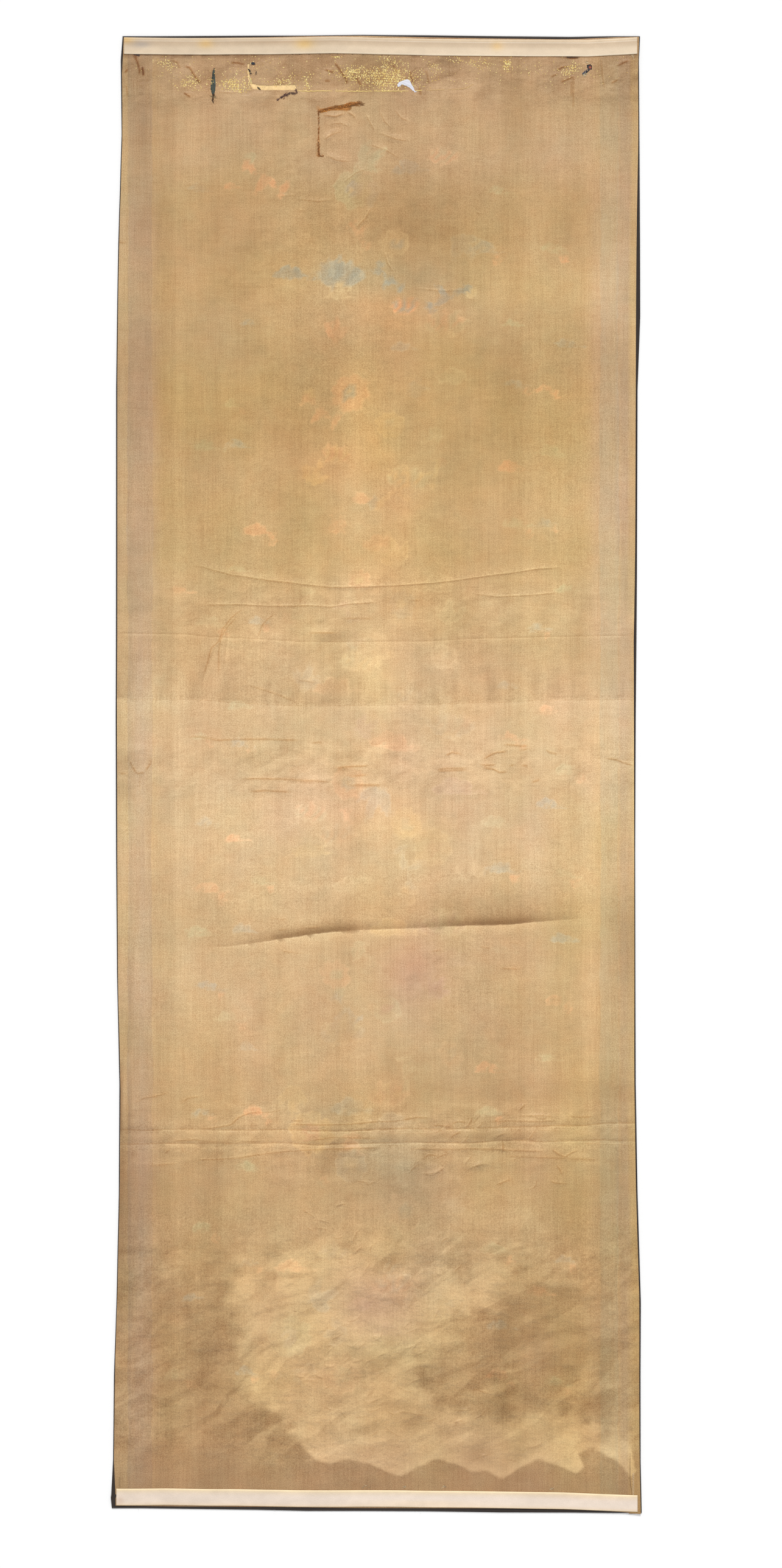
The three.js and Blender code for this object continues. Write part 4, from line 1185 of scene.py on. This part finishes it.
def strands_on(path, count, length, spread, lean, thick, colour, seed):
    """Short broken threads scattered along a path."""
    random = np.random.default_rng(seed)
    path = np.array(path, float)
    lengths = np.hypot(*np.diff(path, axis=0).T)
    run = np.concatenate([[0], np.cumsum(lengths)])
    made = []
    for _ in range(count):
        at = random.uniform(0, run[-1])
        middle = np.array([np.interp(at, run, path[:, part]) for part in (0, 1)])
        part = min(np.searchsorted(run, at, side="right"), len(lengths)) - 1
        way = (path[part + 1] - path[part]) / lengths[part]
        turn = math.atan2(way[1], way[0]) + random.normal(0, lean)
        middle += random.normal(0, spread, 2)
        half = length * random.uniform(0.35, 1) / 2
        bend = random.normal(0, 0.5) * half * 0.6
        along = np.array([math.cos(turn), math.sin(turn)])
        beside = np.array([-along[1], along[0]])
        points = [middle + along * half * t + beside * bend * (1 - t * t) for t in (-1, -0.4, 0.3, 1)]
        shade = np.array(colour) * random.uniform(0.72, 1.25)
        made.append(Strand([tuple(point) for point in points], random.uniform(0.15, 0.7),
                           thick * random.uniform(0.7, 1.3), np.clip(shade, 0, 255)))
    return made


def add_strands(name, strands, material):
    """Thin threads that lie on the lining, in one piece."""
    places = np.concatenate([np.array(strand.path, float) for strand in strands])
    base = np.maximum(lining_height(places[:, 0], places[:, 1]), 1.3)
    points, faces, colours, start = [], [], [], 0
    for strand in strands:
        path = np.array(strand.path, float)
        count = len(path)
        way = np.gradient(path, axis=0)
        way /= np.maximum(np.hypot(*way.T), 1e-6)[:, None]
        beside = np.stack([-way[:, 1], way[:, 0]], 1)
        t = np.linspace(-1, 1, count)
        radius = strand.radius * (1 - 0.55 * t**4)
        middle = base[start:start + count] + strand.lift * (1 - 0.6 * t * t)
        first = len(points) * 4
        for number in range(count):
            side = beside[number] * radius[number]
            points.append([
                (*(path[number] + side), middle[number]), (*path[number], middle[number] + radius[number]),
                (*(path[number] - side), middle[number]), (*path[number], middle[number] - radius[number])])
            colours += [(*linear(np.array(strand.colour) / 255), 1)] * 4
        faces += grid_faces(count, 4, wrap=True, first=first)
        last = first + (count - 1) * 4
        faces += [(first, first + 1, first + 2, first + 3), (last + 3, last + 2, last + 1, last)]
        start += count
    across, down, height = np.array(points).reshape(-1, 3).T
    piece = new_piece(name, point_row(across, down, height), faces, material)
    paint_points(piece, "tint", colours)
    return piece


BROWN, UMBER, DUSK, PALE = (158, 102, 50), (88, 62, 40), (112, 80, 72), (222, 200, 164)
CUT_DOWN = [(-69.8, 92), (-69.4, 110), (-70.2, 130), (-69.6, 146)]
CUT_ACROSS = [(-69.8, 92.6), (-56.8, 89.2), (-43.7, 88), (-31.9, 84.3), (-20, 82.8)]


def frays():
    """Broken threads round the tears and the two cuts."""
    return (
        strands_on(CUT_DOWN, 80, 5, 0.3, 0.2, 0.18, BROWN, 51)
        + strands_on(CUT_DOWN, 24, 2.4, 0.7, 1.2, 0.12, (170, 118, 62), 52)
        + strands_on([(-70, 145.8), (-66, 147), (-63.8, 146.2)], 24, 3, 0.3, 0.3, 0.2, BROWN, 53)
        + strands_on(CUT_ACROSS, 90, 6, 0.6, 0.25, 0.2, BROWN, 54)
        + strands_on([(-67, 93), (-56, 90.6)], 30, 4, 0.7, 0.3, 0.2, (206, 136, 56), 72)
        + strands_on([(-47, 88), (-38, 87), (-30, 84)], 70, 6, 1.1, 0.25, 0.2, (178, 116, 50), 55)
        + strands_on([(-30, 84), (-22, 83), (-15, 84)], 36, 7, 1.2, 0.5, 0.13, (150, 104, 58), 56)
        + strands_on([(-96.8, 66), (-96.2, 70), (-99, 72)], 26, 3.5, 0.5, 0.5, 0.2, DUSK, 57)
        + strands_on([(-98, 70.4), (-105, 71), (-112, 72.6)], 46, 3.2, 0.6, 1.5, 0.2, (92, 66, 62), 58)
        + strands_on([(-108, 73), (-114, 75), (-119.8, 79)], 40, 5, 0.5, 0.3, 0.18, DUSK, 59)
        + strands_on([(-196.6, 72), (-197.4, 77), (-197, 81)], 34, 4, 0.6, 0.3, 0.2, UMBER, 60)
        + strands_on([(-200, 74), (-194, 76)], 16, 3, 0.5, 0.6, 0.18, (150, 132, 96), 61)
        + strands_on([(-150, 35), (-148, 34.4)], 26, 3.6, 0.6, 0.5, 0.32, (52, 56, 66), 62)
        + strands_on([(-153.4, 42), (-151.4, 47)], 16, 2.6, 0.4, 0.3, 0.3, (46, 38, 40), 63)
        + strands_on([(-145.8, 44), (-144.8, 48)], 12, 2.2, 0.5, 0.3, 0.25, (112, 92, 74), 64)
        + strands_on([(-143.6, 63.6), (-140, 66.4)], 16, 2.4, 0.3, 0.2, 0.3, (40, 34, 30), 65)
        + strands_on([(250, 50), (253, 47)], 26, 3.4, 0.8, 0.5, 0.16, PALE, 66)
        + strands_on([(249, 48), (254, 43)], 22, 3, 0.6, 0.3, 0.22, (86, 92, 108), 67)
        + strands_on([(-292.5, 22.8), (-286, 24.6)], 26, 3.4, 0.5, 0.5, 0.22, (74, 58, 58), 68)
        + strands_on([(229.5, 27.4), (242.6, 27.6)], 22, 2.6, 0.4, 0.3, 0.22, (84, 62, 46), 69)
        + strands_on([(-152, 34), (-153, 50), (-151, 60)], 26, 4, 0.5, 0.15, 0.16, (250, 220, 160), 70)
        + strands_on([(-112, 78), (-108, 70)], 10, 3, 0.6, 0.5, 0.16, (150, 110, 84), 71)
    )


def stitches():
    """The seams' stitches, loose ends and lint."""
    made = []
    for number in range(8):
        down = 1730.5 + 1.5 * number
        made.append(Strand([(-308.6, down), (-308.4, down + 0.8)], 0.2, 0.16, (88, 66, 44)))
    for number in range(9):
        down = 1741 + 1.45 * number
        made.append(Strand([(-311.6, down), (-309, down + 0.75), (-311.4, down + 1.45)], 0.2, 0.16,
                           (214, 186, 142)))
    for number in range(14):
        down = 1736.5 + 1.95 * number
        made.append(Strand([(311.3, down), (309.8, down + 1.1), (308.6, down + 2.3)], 0.25, 0.22,
                           (234, 216, 184)))
    made.append(Strand([(306.2, 1712), (306, 1728), (306.2, 1745), (307.4, 1756), (308.6, 1763)],
                       0.1, 0.26, (120, 92, 58)))
    lower = lambda across: float(tape_lines["tape_top"](across)) + TAPE_WIDTH
    for number in range(12):
        across = -101 + 10.6 * number + 2.4 * math.sin(5.1 * number)
        made.append(Strand([(across - 0.9, lower(across) + 0.7), (across + 0.9, lower(across) + 1.0)],
                           0.5, 0.3, (92, 68, 44)))
    for start, stop, colour in ((-158, -156, UMBER), (-210, -196, (120, 104, 66)),
                                (-186, -178, (92, 78, 54)), (-98, -90, (70, 54, 38))):
        for across in np.arange(start, stop, 1.7):
            made.append(Strand([(across, lower(across) + 0.5), (across + 1.2, lower(across) + 0.9)],
                               0.4, 0.28, colour))
    for path in ([(-17.5, 1755), (-13, 1751.5), (-8, 1754.4)], [(31.6, 1754.6), (34.4, 1753)],
                 [(79, 1754.6), (82.5, 1752.6), (86, 1754.8)], [(209, 1756.6), (213, 1754.8)],
                 [(309.5, 24.5), (310.6, 29.6)], [(252, 33), (254.5, 34)]):
        made += strands_on(path, 9, 4, 0.5, 0.4, 0.13, PALE, len(made))
    for across, down, length, turn in ((-288, 1779, 3.4, 1.2), (-20, 1784, 1.4, 0.4), (-124, 1783.5, 3, 0.1),
                                       (52, 1785.3, 2, 0.2), (158, 1784.6, 1.6, 0.1)):
        end = (across + length * math.cos(turn), down + length * math.sin(turn))
        made.append(Strand([(across, down), end], 0.2, 0.14, (196, 192, 188)))
    for across, down, length in ((-28, 1369.3, 2), (-247.7, 1385.5, 2.4), (-294, 1397.3, 2.6),
                                 (286, 1277.4, 0.9), (-285, 664.5, 1), (297.7, 975.4, 1),
                                 (-205, 1299, 4), (-146, 1484.2, 3), (-182, 1518, 2.4), (-190, 1630, 3),
                                 (-99.9, 1541.3, 4), (-138.2, 1579.5, 3), (-101.4, 1579.5, 2.6)):
        shade = PALE if length < 2.8 else (164, 124, 82)
        made.append(Strand([(across, down), (across + length / 2, down + 0.3), (across + length, down)],
                           0.15, 0.16, shade))
    return made


# Where the gilding shows: the middle across and down, half the width and height, and how many
# flakes, in rows or not
GILT = [
    (8, 53, 34, 12, 1000, True), (-30, 46, 22, 8, 240, True), (-170, 60, 15, 7, 380, True),
    (-83, 58, 5, 8, 80, True), (15, 36, 18, 8, 260, False), (127, 34, 16, 6, 110, False),
    (158, 35, 5, 6, 110, True), (233, 43, 11, 7, 140, False), (-52, 27, 14, 2, 60, False),
    (-254, 36, 10, 8, 110, False), (-222, 56, 18, 10, 190, False), (-113, 56, 16, 5, 90, False),
    (69, 44, 10, 9, 90, False), (-160, 46, 100, 18, 300, False), (20, 44, 80, 18, 340, False),
    (190, 44, 95, 17, 180, False), (51, 52, 5, 8, 30, False), (99, 31, 12, 4, 40, False),
]


def add_gilding(material):
    """Flakes of gilding on the worn top, most of them short upright dashes."""
    random = np.random.default_rng(80)
    flakes = []
    for middle, at, wide, tall, count, rows in GILT:
        across = middle + wide * np.clip(random.normal(0, 0.55, count), -1.3, 1.3)
        down = np.clip(at + tall * np.clip(random.normal(0, 0.6, count), -1.25, 1.25), 26.5, 67)
        kept = random.uniform(-0.9, 1.1, count) > soft_noise(across, down, 5, 3.5, 81)
        if rows:
            in_row = random.uniform(0, 1, count) < 0.7
            row = 1.3 + np.round(down / 2.9) * 2.9 + 0.04 * (across - middle) + random.normal(0, 0.4, count)
            row += 0.9 * soft_noise(across, down, 14, 9, 82)
            down = np.where(in_row, row, down)
            column = np.round(across / 1.75) * 1.75 + random.normal(0, 0.35, count)
            across = np.where(in_row, column, across)
        flakes.append(np.stack([across, down, random.uniform(0.5, 1.15, count),
                                random.uniform(0.7, 2.1 if rows else 1.3, count),
                                random.normal(0, 0.2, count)])[:, kept])
    across, down, wide, tall, turn = np.concatenate(flakes, 1)
    height = lining_height(across, down) + 0.1
    points = []
    for u, v in ((-1, -1), (1, -0.7), (0.8, 1), (-1, 0.8)):
        x = across + (u * wide * np.cos(turn) - v * tall * np.sin(turn)) / 2
        y = down + (u * wide * np.sin(turn) + v * tall * np.cos(turn)) / 2
        points.append(point_row(x, y, height + 0.12 * random.uniform(-1, 1, len(x))))
    points = np.stack(points, 1).reshape(-1, 3)
    faces = [(4 * n + 3, 4 * n + 2, 4 * n + 1, 4 * n) for n in range(len(across))]
    piece = new_piece("gilding_flakes", points, faces, material)
    # The flakes run from dull gold to pale gold, the pale ones painted glints in place of light off the metal
    bright = random.uniform(0, 1, len(across))[:, None] ** 0.8
    shade = np.array([206, 164, 84]) * (1 - bright) + np.array([252, 234, 160]) * bright
    shade = np.repeat(linear(shade / 255), 4, 0)
    paint_points(piece, "tint", np.hstack([shade, np.ones((len(shade), 1))]))
    return piece


def gilt_thread():
    """The broken gilt thread along the lower seam of the worn top."""
    line = [(-96, 67.2), (-90, 68), (-83, 68.4), (-66, 67.8), (-50, 67.9), (-32, 68.4), (-20, 68.4),
            (0, 68.2), (20, 68.1), (38, 68), (56, 67.3), (85, 66.5), (103, 65.6), (110, 63.7), (120, 58)]
    path = np.array(line, float)
    made = []
    for start, stop in ((-96, -52), (-50, -4), (-3, 40), (47, 56), (59, 84), (86, 118)):
        across = np.arange(start, stop, 1.2)
        down = np.interp(across, path[:, 0], path[:, 1]) + 0.2 * np.sin(0.9 * across)
        colour = (255, 226, 142) if start < 58 else (226, 190, 128)
        made.append(Strand(list(zip(across, down)), 0.3, 0.42 if start < 58 else 0.3, colour))
    for down_at in np.arange(45.5, 67, 1.4):
        made.append(Strand([(-31.6, down_at), (-31.4, down_at + 1.1)], 0.12, 0.2, (226, 190, 116)))
    return made


# A scrap of white lint, as an outline and the ridges that fan through it
LINT = [
    (25.4, 60.1), (26.9, 57.6), (32.1, 55.5), (37, 53.8), (39.8, 54.9), (41.6, 57.9), (43.1, 61),
    (45, 64.1), (46.2, 67.4), (48, 68.6), (49.5, 67.6), (46.8, 70.1), (45, 68.4), (42.5, 66.2),
    (39.4, 63.5), (36.4, 61.9), (33.6, 61), (30.9, 59.9), (27.8, 62.5), (25.7, 63.1),
]


def filled(outline, step, edge=0.0):
    """Grid places and faces that fill an outline, with their outer corners drawn onto it."""
    low, high = np.array(outline).min(0) - step - edge, np.array(outline).max(0) + step + edge
    columns, rows = (int(size / step) + 2 for size in high - low)
    across, down = np.meshgrid(low[0] + np.arange(columns) * step, low[1] + np.arange(rows) * step)
    across, down = across.ravel(), down.ravel()
    gap, to_across, to_down = nearest_on(outline, across, down)
    inside = inside_outline(outline, across, down)
    close = (gap < 0.55 * step) & (edge == 0)
    across, down = np.where(close, to_across, across), np.where(close, to_down, down)
    faces = [face for face in grid_faces(rows, columns)
             if inside_outline(outline, across[list(face)].mean(keepdims=True),
                               down[list(face)].mean(keepdims=True))[0] > -edge]
    used = np.unique(np.array(faces))
    number = np.full(len(across), -1)
    number[used] = np.arange(len(used))
    return across[used], down[used], [tuple(int(number[i]) for i in face) for face in faces], inside[used]


def add_backing(material):
    """What shows through the tears: the threads behind the brocade."""
    points, faces, colours, count = [], [], [], 0
    for number, outline in enumerate(TEARS):
        across, down, new, _ = filled(outline, 0.8, 2.0)
        points.append(point_row(across, down, 1.55 + 0.12 * soft_noise(across, down, 2, 2, 90)))
        faces += [tuple(count + i for i in face) for face in new]
        count += len(across)
        speck = soft_noise(across, down, 1.6, 1.6, 91)[:, None]
        if number == 0:
            edge = smooth((across + 196.3) / 3)[:, None]
            shade = np.array([58, 64, 54]) * (1 - edge) + np.array([84, 92, 88]) * edge
            shade = shade * (1 + 0.2 * speck)
        elif number == 1:
            shade = np.array([244, 208, 148]) * (1 + 0.05 * speck)
        else:
            middle = np.exp(-((across - 258) ** 2 + (down - 39.3) ** 2) / 3)[:, None]
            shade = np.array([44, 40, 46]) * (1 - middle) + np.array([190, 92, 60]) * middle
        colours.append(shade / 255)
    piece = new_piece("back_threads", np.concatenate(points), [face[::-1] for face in faces],
                      material)
    paint_points(piece, "tint", np.hstack([linear(np.concatenate(colours)), np.ones((count, 1))]))
    return piece


def add_lint(material):
    """The scrap of white lint near the top."""
    across, down, faces, inside = filled(LINT, 0.7)
    fan = np.arctan2(down - 52, across - 20)
    height = lining_height(across, down) + 0.25 + 0.22 * smooth(inside / 2) * (1 + np.sin(34 * fan))
    return new_piece("lint_scrap", point_row(across, down, height), [face[::-1] for face in faces],
                     material)


GROUND = np.array([190, 155, 96]) / 255


def add_face(material):
    """The brocade that shows from below, with its woven design."""
    inset, columns, rows = BORDER_WIDTH - 3, 58, 170
    fine = np.ones((rows, columns), int)
    width, height = 2 * (HALF_WIDTH - inset), LENGTH - 2 * inset
    column_at = (np.arange(columns) + 0.5) / columns * width - width / 2
    row_at = (np.arange(rows) + 0.5) / rows * height + inset
    across, down = (part.ravel() for part in np.meshgrid(column_at, row_at))
    busy = np.zeros(len(across), bool)
    for petals, _, _ in DESIGN:
        for petal in petals:
            busy |= np.abs(petal_gap(petal, across, down, 2)) < 9
    fine[busy.reshape(rows, columns)] = CUTS
    column, row, faces = cut_cells(columns, rows, fine, fine)
    u, v = column / (columns * CUTS), row / (rows * CUTS)
    down = inset + v * height
    left, right = border_left(down) + inset, border_right(down) - inset
    across = left + (right - left) * u
    top, bottom = border_top(across) + inset, border_bottom(across) - inset
    down = top + (bottom - top) * v
    piece = new_piece("face_brocade", point_row(across, down, np.full(len(across), 0.16)),
                      [face[::-1] for face in faces], material, ["brocade_face"])
    colours = painted(np.tile(GROUND, (len(across), 1)), across, down,
                      lambda hue, strength: (np.array(HUES[hue][1]) / 255, 1), 2, 1.6)
    paint_points(piece, "tint", np.hstack([linear(colours), np.ones((len(across), 1))]))
    map_points(piece, u, 1 - v)
    return piece


# Materials


def add_node(tree, kind, **settings):
    """A shader node with its settings, and with its inputs by name or number."""
    node = tree.nodes.new(kind)
    inputs = settings.pop("inputs", {})
    for name, value in settings.items():
        setattr(node, name, value)
    for name, value in inputs.items():
        value = getattr(value, "socket", value)
        if isinstance(value, bpy.types.NodeSocket):
            tree.links.new(value, node.inputs[name])
        else:
            node.inputs[name].default_value = value
    return node


class Number:
    """A number in a material. Its sums and products are nodes of their own."""

    def __init__(self, tree, socket):
        self.tree, self.socket = tree, socket

    def made(self, operation, other):
        node = add_node(self.tree, "ShaderNodeMath", operation=operation, inputs={0: self, 1: other})
        return Number(self.tree, node.outputs[0])

    def __add__(self, other):
        return self.made("ADD", other)

    def __sub__(self, other):
        return self.made("SUBTRACT", other)

    def __mul__(self, other):
        return self.made("MULTIPLY", other)

    def __abs__(self):
        return self.made("ABSOLUTE", 0.0)

    def between(self, start, stop, low=0.0, high=1.0, soft=False):
        """The number carried from start to stop onto low to high, and kept inside them."""
        node = add_node(self.tree, "ShaderNodeMapRange",
                        interpolation_type="SMOOTHSTEP" if soft else "LINEAR",
                        inputs={0: self, 1: start, 2: stop, 3: low, 4: high})
        return Number(self.tree, node.outputs[0])

    def peak(self, middle, reach, soft=False):
        """1 where the number is the middle, and 0 at the reach from it."""
        return abs(self - middle).between(0.0, reach, 1.0, 0.0, soft)

    def of(self, colour):
        """A colour times the number."""
        return Tint(self.tree, colour) * self


class Tint:
    """A colour in a material, as a socket or three numbers."""

    def __init__(self, tree, socket):
        self.tree, self.socket = tree, socket

    def made(self, operation, other):
        to = "Scale" if operation == "SCALE" else 1
        node = add_node(self.tree, "ShaderNodeVectorMath", operation=operation,
                        inputs={0: self, to: other})
        return Tint(self.tree, node.outputs[0])

    def __add__(self, other):
        return self.made("ADD", other)

    def __sub__(self, other):
        return self.made("SUBTRACT", other)

    def __mul__(self, other):
        return self.made("SCALE" if isinstance(other, Number) else "MULTIPLY", other)


def new_material(name, roughness, **sockets):
    """A material, its node tree and its shader."""
    material = bpy.data.materials.new(name)
    material.use_nodes = True
    tree = material.node_tree
    shader = tree.nodes["Principled BSDF"]
    shader.inputs["Roughness"].default_value = roughness
    for socket, value in sockets.items():
        shader.inputs[socket.replace("_", " ")].default_value = value
    return material, tree, shader


def stretched_noise(tree, per_metre, detail=2.0, offset=0.0, swirl=0.0, turn=0.0, kind="FBM"):
    """Noise from 0 to 1 with its own number of lumps a metre along x, y and z, turned about z."""
    place = add_node(tree, "ShaderNodeTexCoord").outputs["Object"]
    if turn:
        place = add_node(tree, "ShaderNodeMapping",
                         inputs={"Vector": place, "Rotation": (0, 0, -turn)}).outputs[0]
    place = add_node(tree, "ShaderNodeMapping",
                     inputs={"Vector": place, "Scale": per_metre, "Location": (offset,) * 3}).outputs[0]
    noise = add_node(tree, "ShaderNodeTexNoise", noise_type=kind,
                     inputs={"Vector": place, "Scale": 1.0, "Detail": detail, "Distortion": swirl})
    return Number(tree, noise.outputs["Fac"])


def point_tint(tree, attribute):
    """A colour painted on the points."""
    return Tint(tree, add_node(tree, "ShaderNodeAttribute", attribute_name=attribute).outputs["Color"])


def point_number(tree, attribute, part):
    """One of the four numbers painted on the points as a colour."""
    node = add_node(tree, "ShaderNodeAttribute", attribute_name=attribute)
    if part == 3:
        return Number(tree, node.outputs["Alpha"])
    parts = add_node(tree, "ShaderNodeSeparateColor", inputs={0: node.outputs["Color"]})
    return Number(tree, parts.outputs[part])


def finish_surface(tree, shader, colour, height, strength, distance):
    """The colour and the relief joined to the shader."""
    tree.links.new(colour.socket, shader.inputs["Base Color"])
    bump = add_node(tree, "ShaderNodeBump",
                    inputs={"Strength": strength, "Distance": distance, "Height": height})
    tree.links.new(bump.outputs[0], shader.inputs["Normal"])


WHITE = (1, 1, 1)
SIDE_TINTS = ((-0.12, -0.105, -0.015), (-0.055, 0.012, 0.105))


def silk_material():
    """The lining's silk: weave, wear, painted sheen and painted shade over the painted tint, and what shows
    through it.
    """
    material, tree, shader = new_material("gold_lining_silk", 0.5, Specular_IOR_Level=0.3,
                                          Sheen_Weight=0.1, Anisotropic=0.4)

    def noise(*lumps, detail=2, **settings):
        return stretched_noise(tree, lumps, detail, **settings)

    # Weave and wear, from fine to broad, with painted light and shade of rumples and satin sheen
    warp = noise(620, 16, 1)
    broad_warp = noise(90, 1.6, 1, detail=3, offset=3.1)
    weft = noise(40, 620, 1, detail=1, offset=5.7)
    broad_weft = noise(6, 90, 1, offset=8.2)
    grain = noise(900, 900, 900, detail=1)
    mottle = noise(150, 150, 1, offset=2.2)
    broad_mottle = noise(34, 24, 1, detail=3, offset=6.4)
    rumple = noise(36, 56, 1, detail=4, offset=1.7)
    satin = noise(13, 34, 1, detail=5, offset=12.6, swirl=1.2, turn=0.5)
    satin = satin.between(0.42, 0.58, -1.0, 1.0, soft=True)
    crumple = point_number(tree, "marks", 0)
    shade = 1.0
    for lumps, weight in ((warp, 0.27), (broad_warp, 0.13), (weft, 0.11), (broad_weft, 0.06),
                          (grain, 0.74), (mottle, 0.14)):
        shade = (lumps - 0.5) * weight + shade
    # Painted light and shade of rumples, painted satin sheen and broad mottling, stronger where crumpled
    worn = (rumple - 0.5) * 0.45 + satin * crumple * 0.12 + (broad_mottle - 0.5) * 0.36
    shade = shade + worn * crumple

    # The design from below, with ragged edges and a pale rim
    ragged = mottle - 0.5
    inside = point_number(tree, "marks", 1) * GHOST_REACH + ragged * 4.5
    cover = inside.between(-1.5, 1.5, soft=True) * broad_mottle.between(0.35, 0.6, 0.45, 1.1)
    rim = inside.peak(0.4, 1.7) + inside.peak(4.6, 1.2) * 0.6
    rim = rim * broad_mottle.between(0.38, 0.62, 0.0, 0.11)

    # The satin's shine, a painted highlight
    edge = point_number(tree, "marks", 2) + (rumple - 0.5) * 1.5
    shine = edge.between(0.0, 1.0, soft=True) * point_number(tree, "marks", 3) * 2.2

    # Fold lines: a thin painted highlight beside a thin painted shade line
    past = point_number(tree, "lines", 0) + ragged * 1.6
    shown = point_number(tree, "lines", 1)
    bright_line = past.peak(-0.8, 1.1, soft=True) * shown
    dark_line = past.peak(0.8, 1.3, soft=True) * shown

    total = shade + rim + shine + bright_line * 0.13
    warmth = noise(64, 60, 1, detail=3, offset=9.3) - 0.5
    factor = ((total - 1.0).of(tuple(SILK_DEPTH)) + WHITE + dark_line.of((-0.07, -0.14, -0.22))
              + warmth.of((0.10, -0.03, -0.10)))
    colour = point_tint(tree, "tint") * factor
    colour = colour * ((point_tint(tree, "ghost") - WHITE) * cover + WHITE)

    # The bands down both sides
    streak = (broad_warp - 0.5) * 1.6 + 1.0
    for part, change in enumerate(SIDE_TINTS):
        band = (point_number(tree, "bands", part) + ragged * 2.6).between(-0.9, 0.9, soft=True)
        colour = colour * ((band * streak).of(change) + WHITE)

    # Crumples and threads in relief
    folds = noise(26, 58, 1, detail=3, kind="RIDGED_MULTIFRACTAL")
    height = (rumple * 2.8 + folds * 0.8) * crumple + (warp + grain * 0.8) * 0.06
    finish_surface(tree, shader, colour, height, 1.0, 0.0018)
    tree.links.new((weft * 0.16 + 0.42).socket, shader.inputs["Roughness"])
    return material


def tinted_cloth(name, roughness, lumps, weight, depth, tint=None, **sockets):
    """A cloth whose colour is painted on its points, or one tint, with grain and bump."""
    material, tree, shader = new_material(name, roughness, **sockets)
    noise = stretched_noise(tree, lumps, 2)
    if tint:
        colour = Tint(tree, add_node(tree, "ShaderNodeRGB").outputs[0])
        colour.socket.default_value = (*linear(np.array(tint) / 255), 1)
    else:
        colour = point_tint(tree, "tint")
    finish_surface(tree, shader, colour * ((noise - 0.5) * weight + 1.0), noise, 0.5, depth)
    return material


# The stage


def add_stage():
    """The floor and the lights."""
    bpy.ops.mesh.primitive_plane_add(size=160, location=(0, 0, -0.0004))
    floor = bpy.context.object
    floor.name = "floor"
    material, _, shader = new_material("pale_floor", 0.95)
    shader.inputs["Base Color"].default_value = (0.955, 0.955, 0.955, 1)
    floor.data.materials.append(material)

    world = bpy.context.scene.world or bpy.data.worlds.new("studio")
    bpy.context.scene.world = world
    world.use_nodes = True
    world.node_tree.nodes["Background"].inputs["Color"].default_value = (1, 1, 1, 1)
    world.node_tree.nodes["Background"].inputs["Strength"].default_value = 0.55

    for name, strength, spread, tilt, turn in (
        ("key", 1.9, 14, 50, 180),
        ("fill", 0.5, 40, 40, 20),
    ):
        light = bpy.data.objects.new(name, bpy.data.lights.new(name, "SUN"))
        light.data.energy = strength
        light.data.angle = math.radians(spread)
        light.rotation_euler = (math.radians(tilt), 0, math.radians(turn))
        bpy.context.scene.collection.objects.link(light)
    bpy.context.scene.view_settings.view_transform = "Standard"


def add_camera():
    """The camera straight above, set back so that a pixel is PIXEL wide on the lining."""
    lens, sensor = 120, 36
    view_height = PICTURE_PIXELS[1] * PIXEL
    away = view_height * lens / sensor
    data = bpy.data.cameras.new("camera")
    data.lens, data.sensor_width = lens, sensor
    data.clip_end = 100
    camera = bpy.data.objects.new("camera", data)
    right = (PICTURE_PIXELS[0] / 2 - PANEL_MIDDLE_PIXEL[0]) * PIXEL
    lower = (PICTURE_PIXELS[1] / 2 - PANEL_MIDDLE_PIXEL[1]) * PIXEL
    camera.location = (right * MM, -lower * MM, (away + LINING_TOP) * MM)
    bpy.context.scene.collection.objects.link(camera)
    bpy.context.scene.camera = camera


add_camera()
add_stage()
add_lining(silk_material())
satin = tinted_cloth("black_satin", 0.55, (260, 260, 260), 0.5, 0.0003, (43, 33, 27),
                     Specular_IOR_Level=0.35, Sheen_Weight=0.15)
for name, edge in (("border_left", border_left), ("border_right", border_right),
                   ("border_top", border_top), ("border_bottom", border_bottom)):
    add_border(name, edge, satin)
cotton = tinted_cloth("cream_cotton", 0.95, (800, 800, 800), 0.16, 0.0004, Sheen_Weight=0.3)
add_tape("tape_top", cotton)
add_tape("tape_bottom", cotton)
brocade = tinted_cloth("woven_brocade", 0.5, (1100, 420, 600), 0.5, 0.0004)
add_face(brocade)
add_backing(brocade)
thread = tinted_cloth("loose_thread", 0.8, (900, 900, 900), 0.2, 0.0001)
add_strands("frayed_threads", frays(), thread)
add_strands("stitch_threads", stitches(), thread)
gold = tinted_cloth("gilt_flakes", 0.35, (900, 900, 900), 0.2, 0.0001)
add_gilding(gold)
add_strands("gilt_thread", gilt_thread(), tinted_cloth("gilt_thread", 0.4, (900, 900, 900), 0.2, 0.0001))
add_lint(tinted_cloth("white_lint", 0.95, (400, 400, 400), 0.2, 0.0002, (222, 222, 230)))
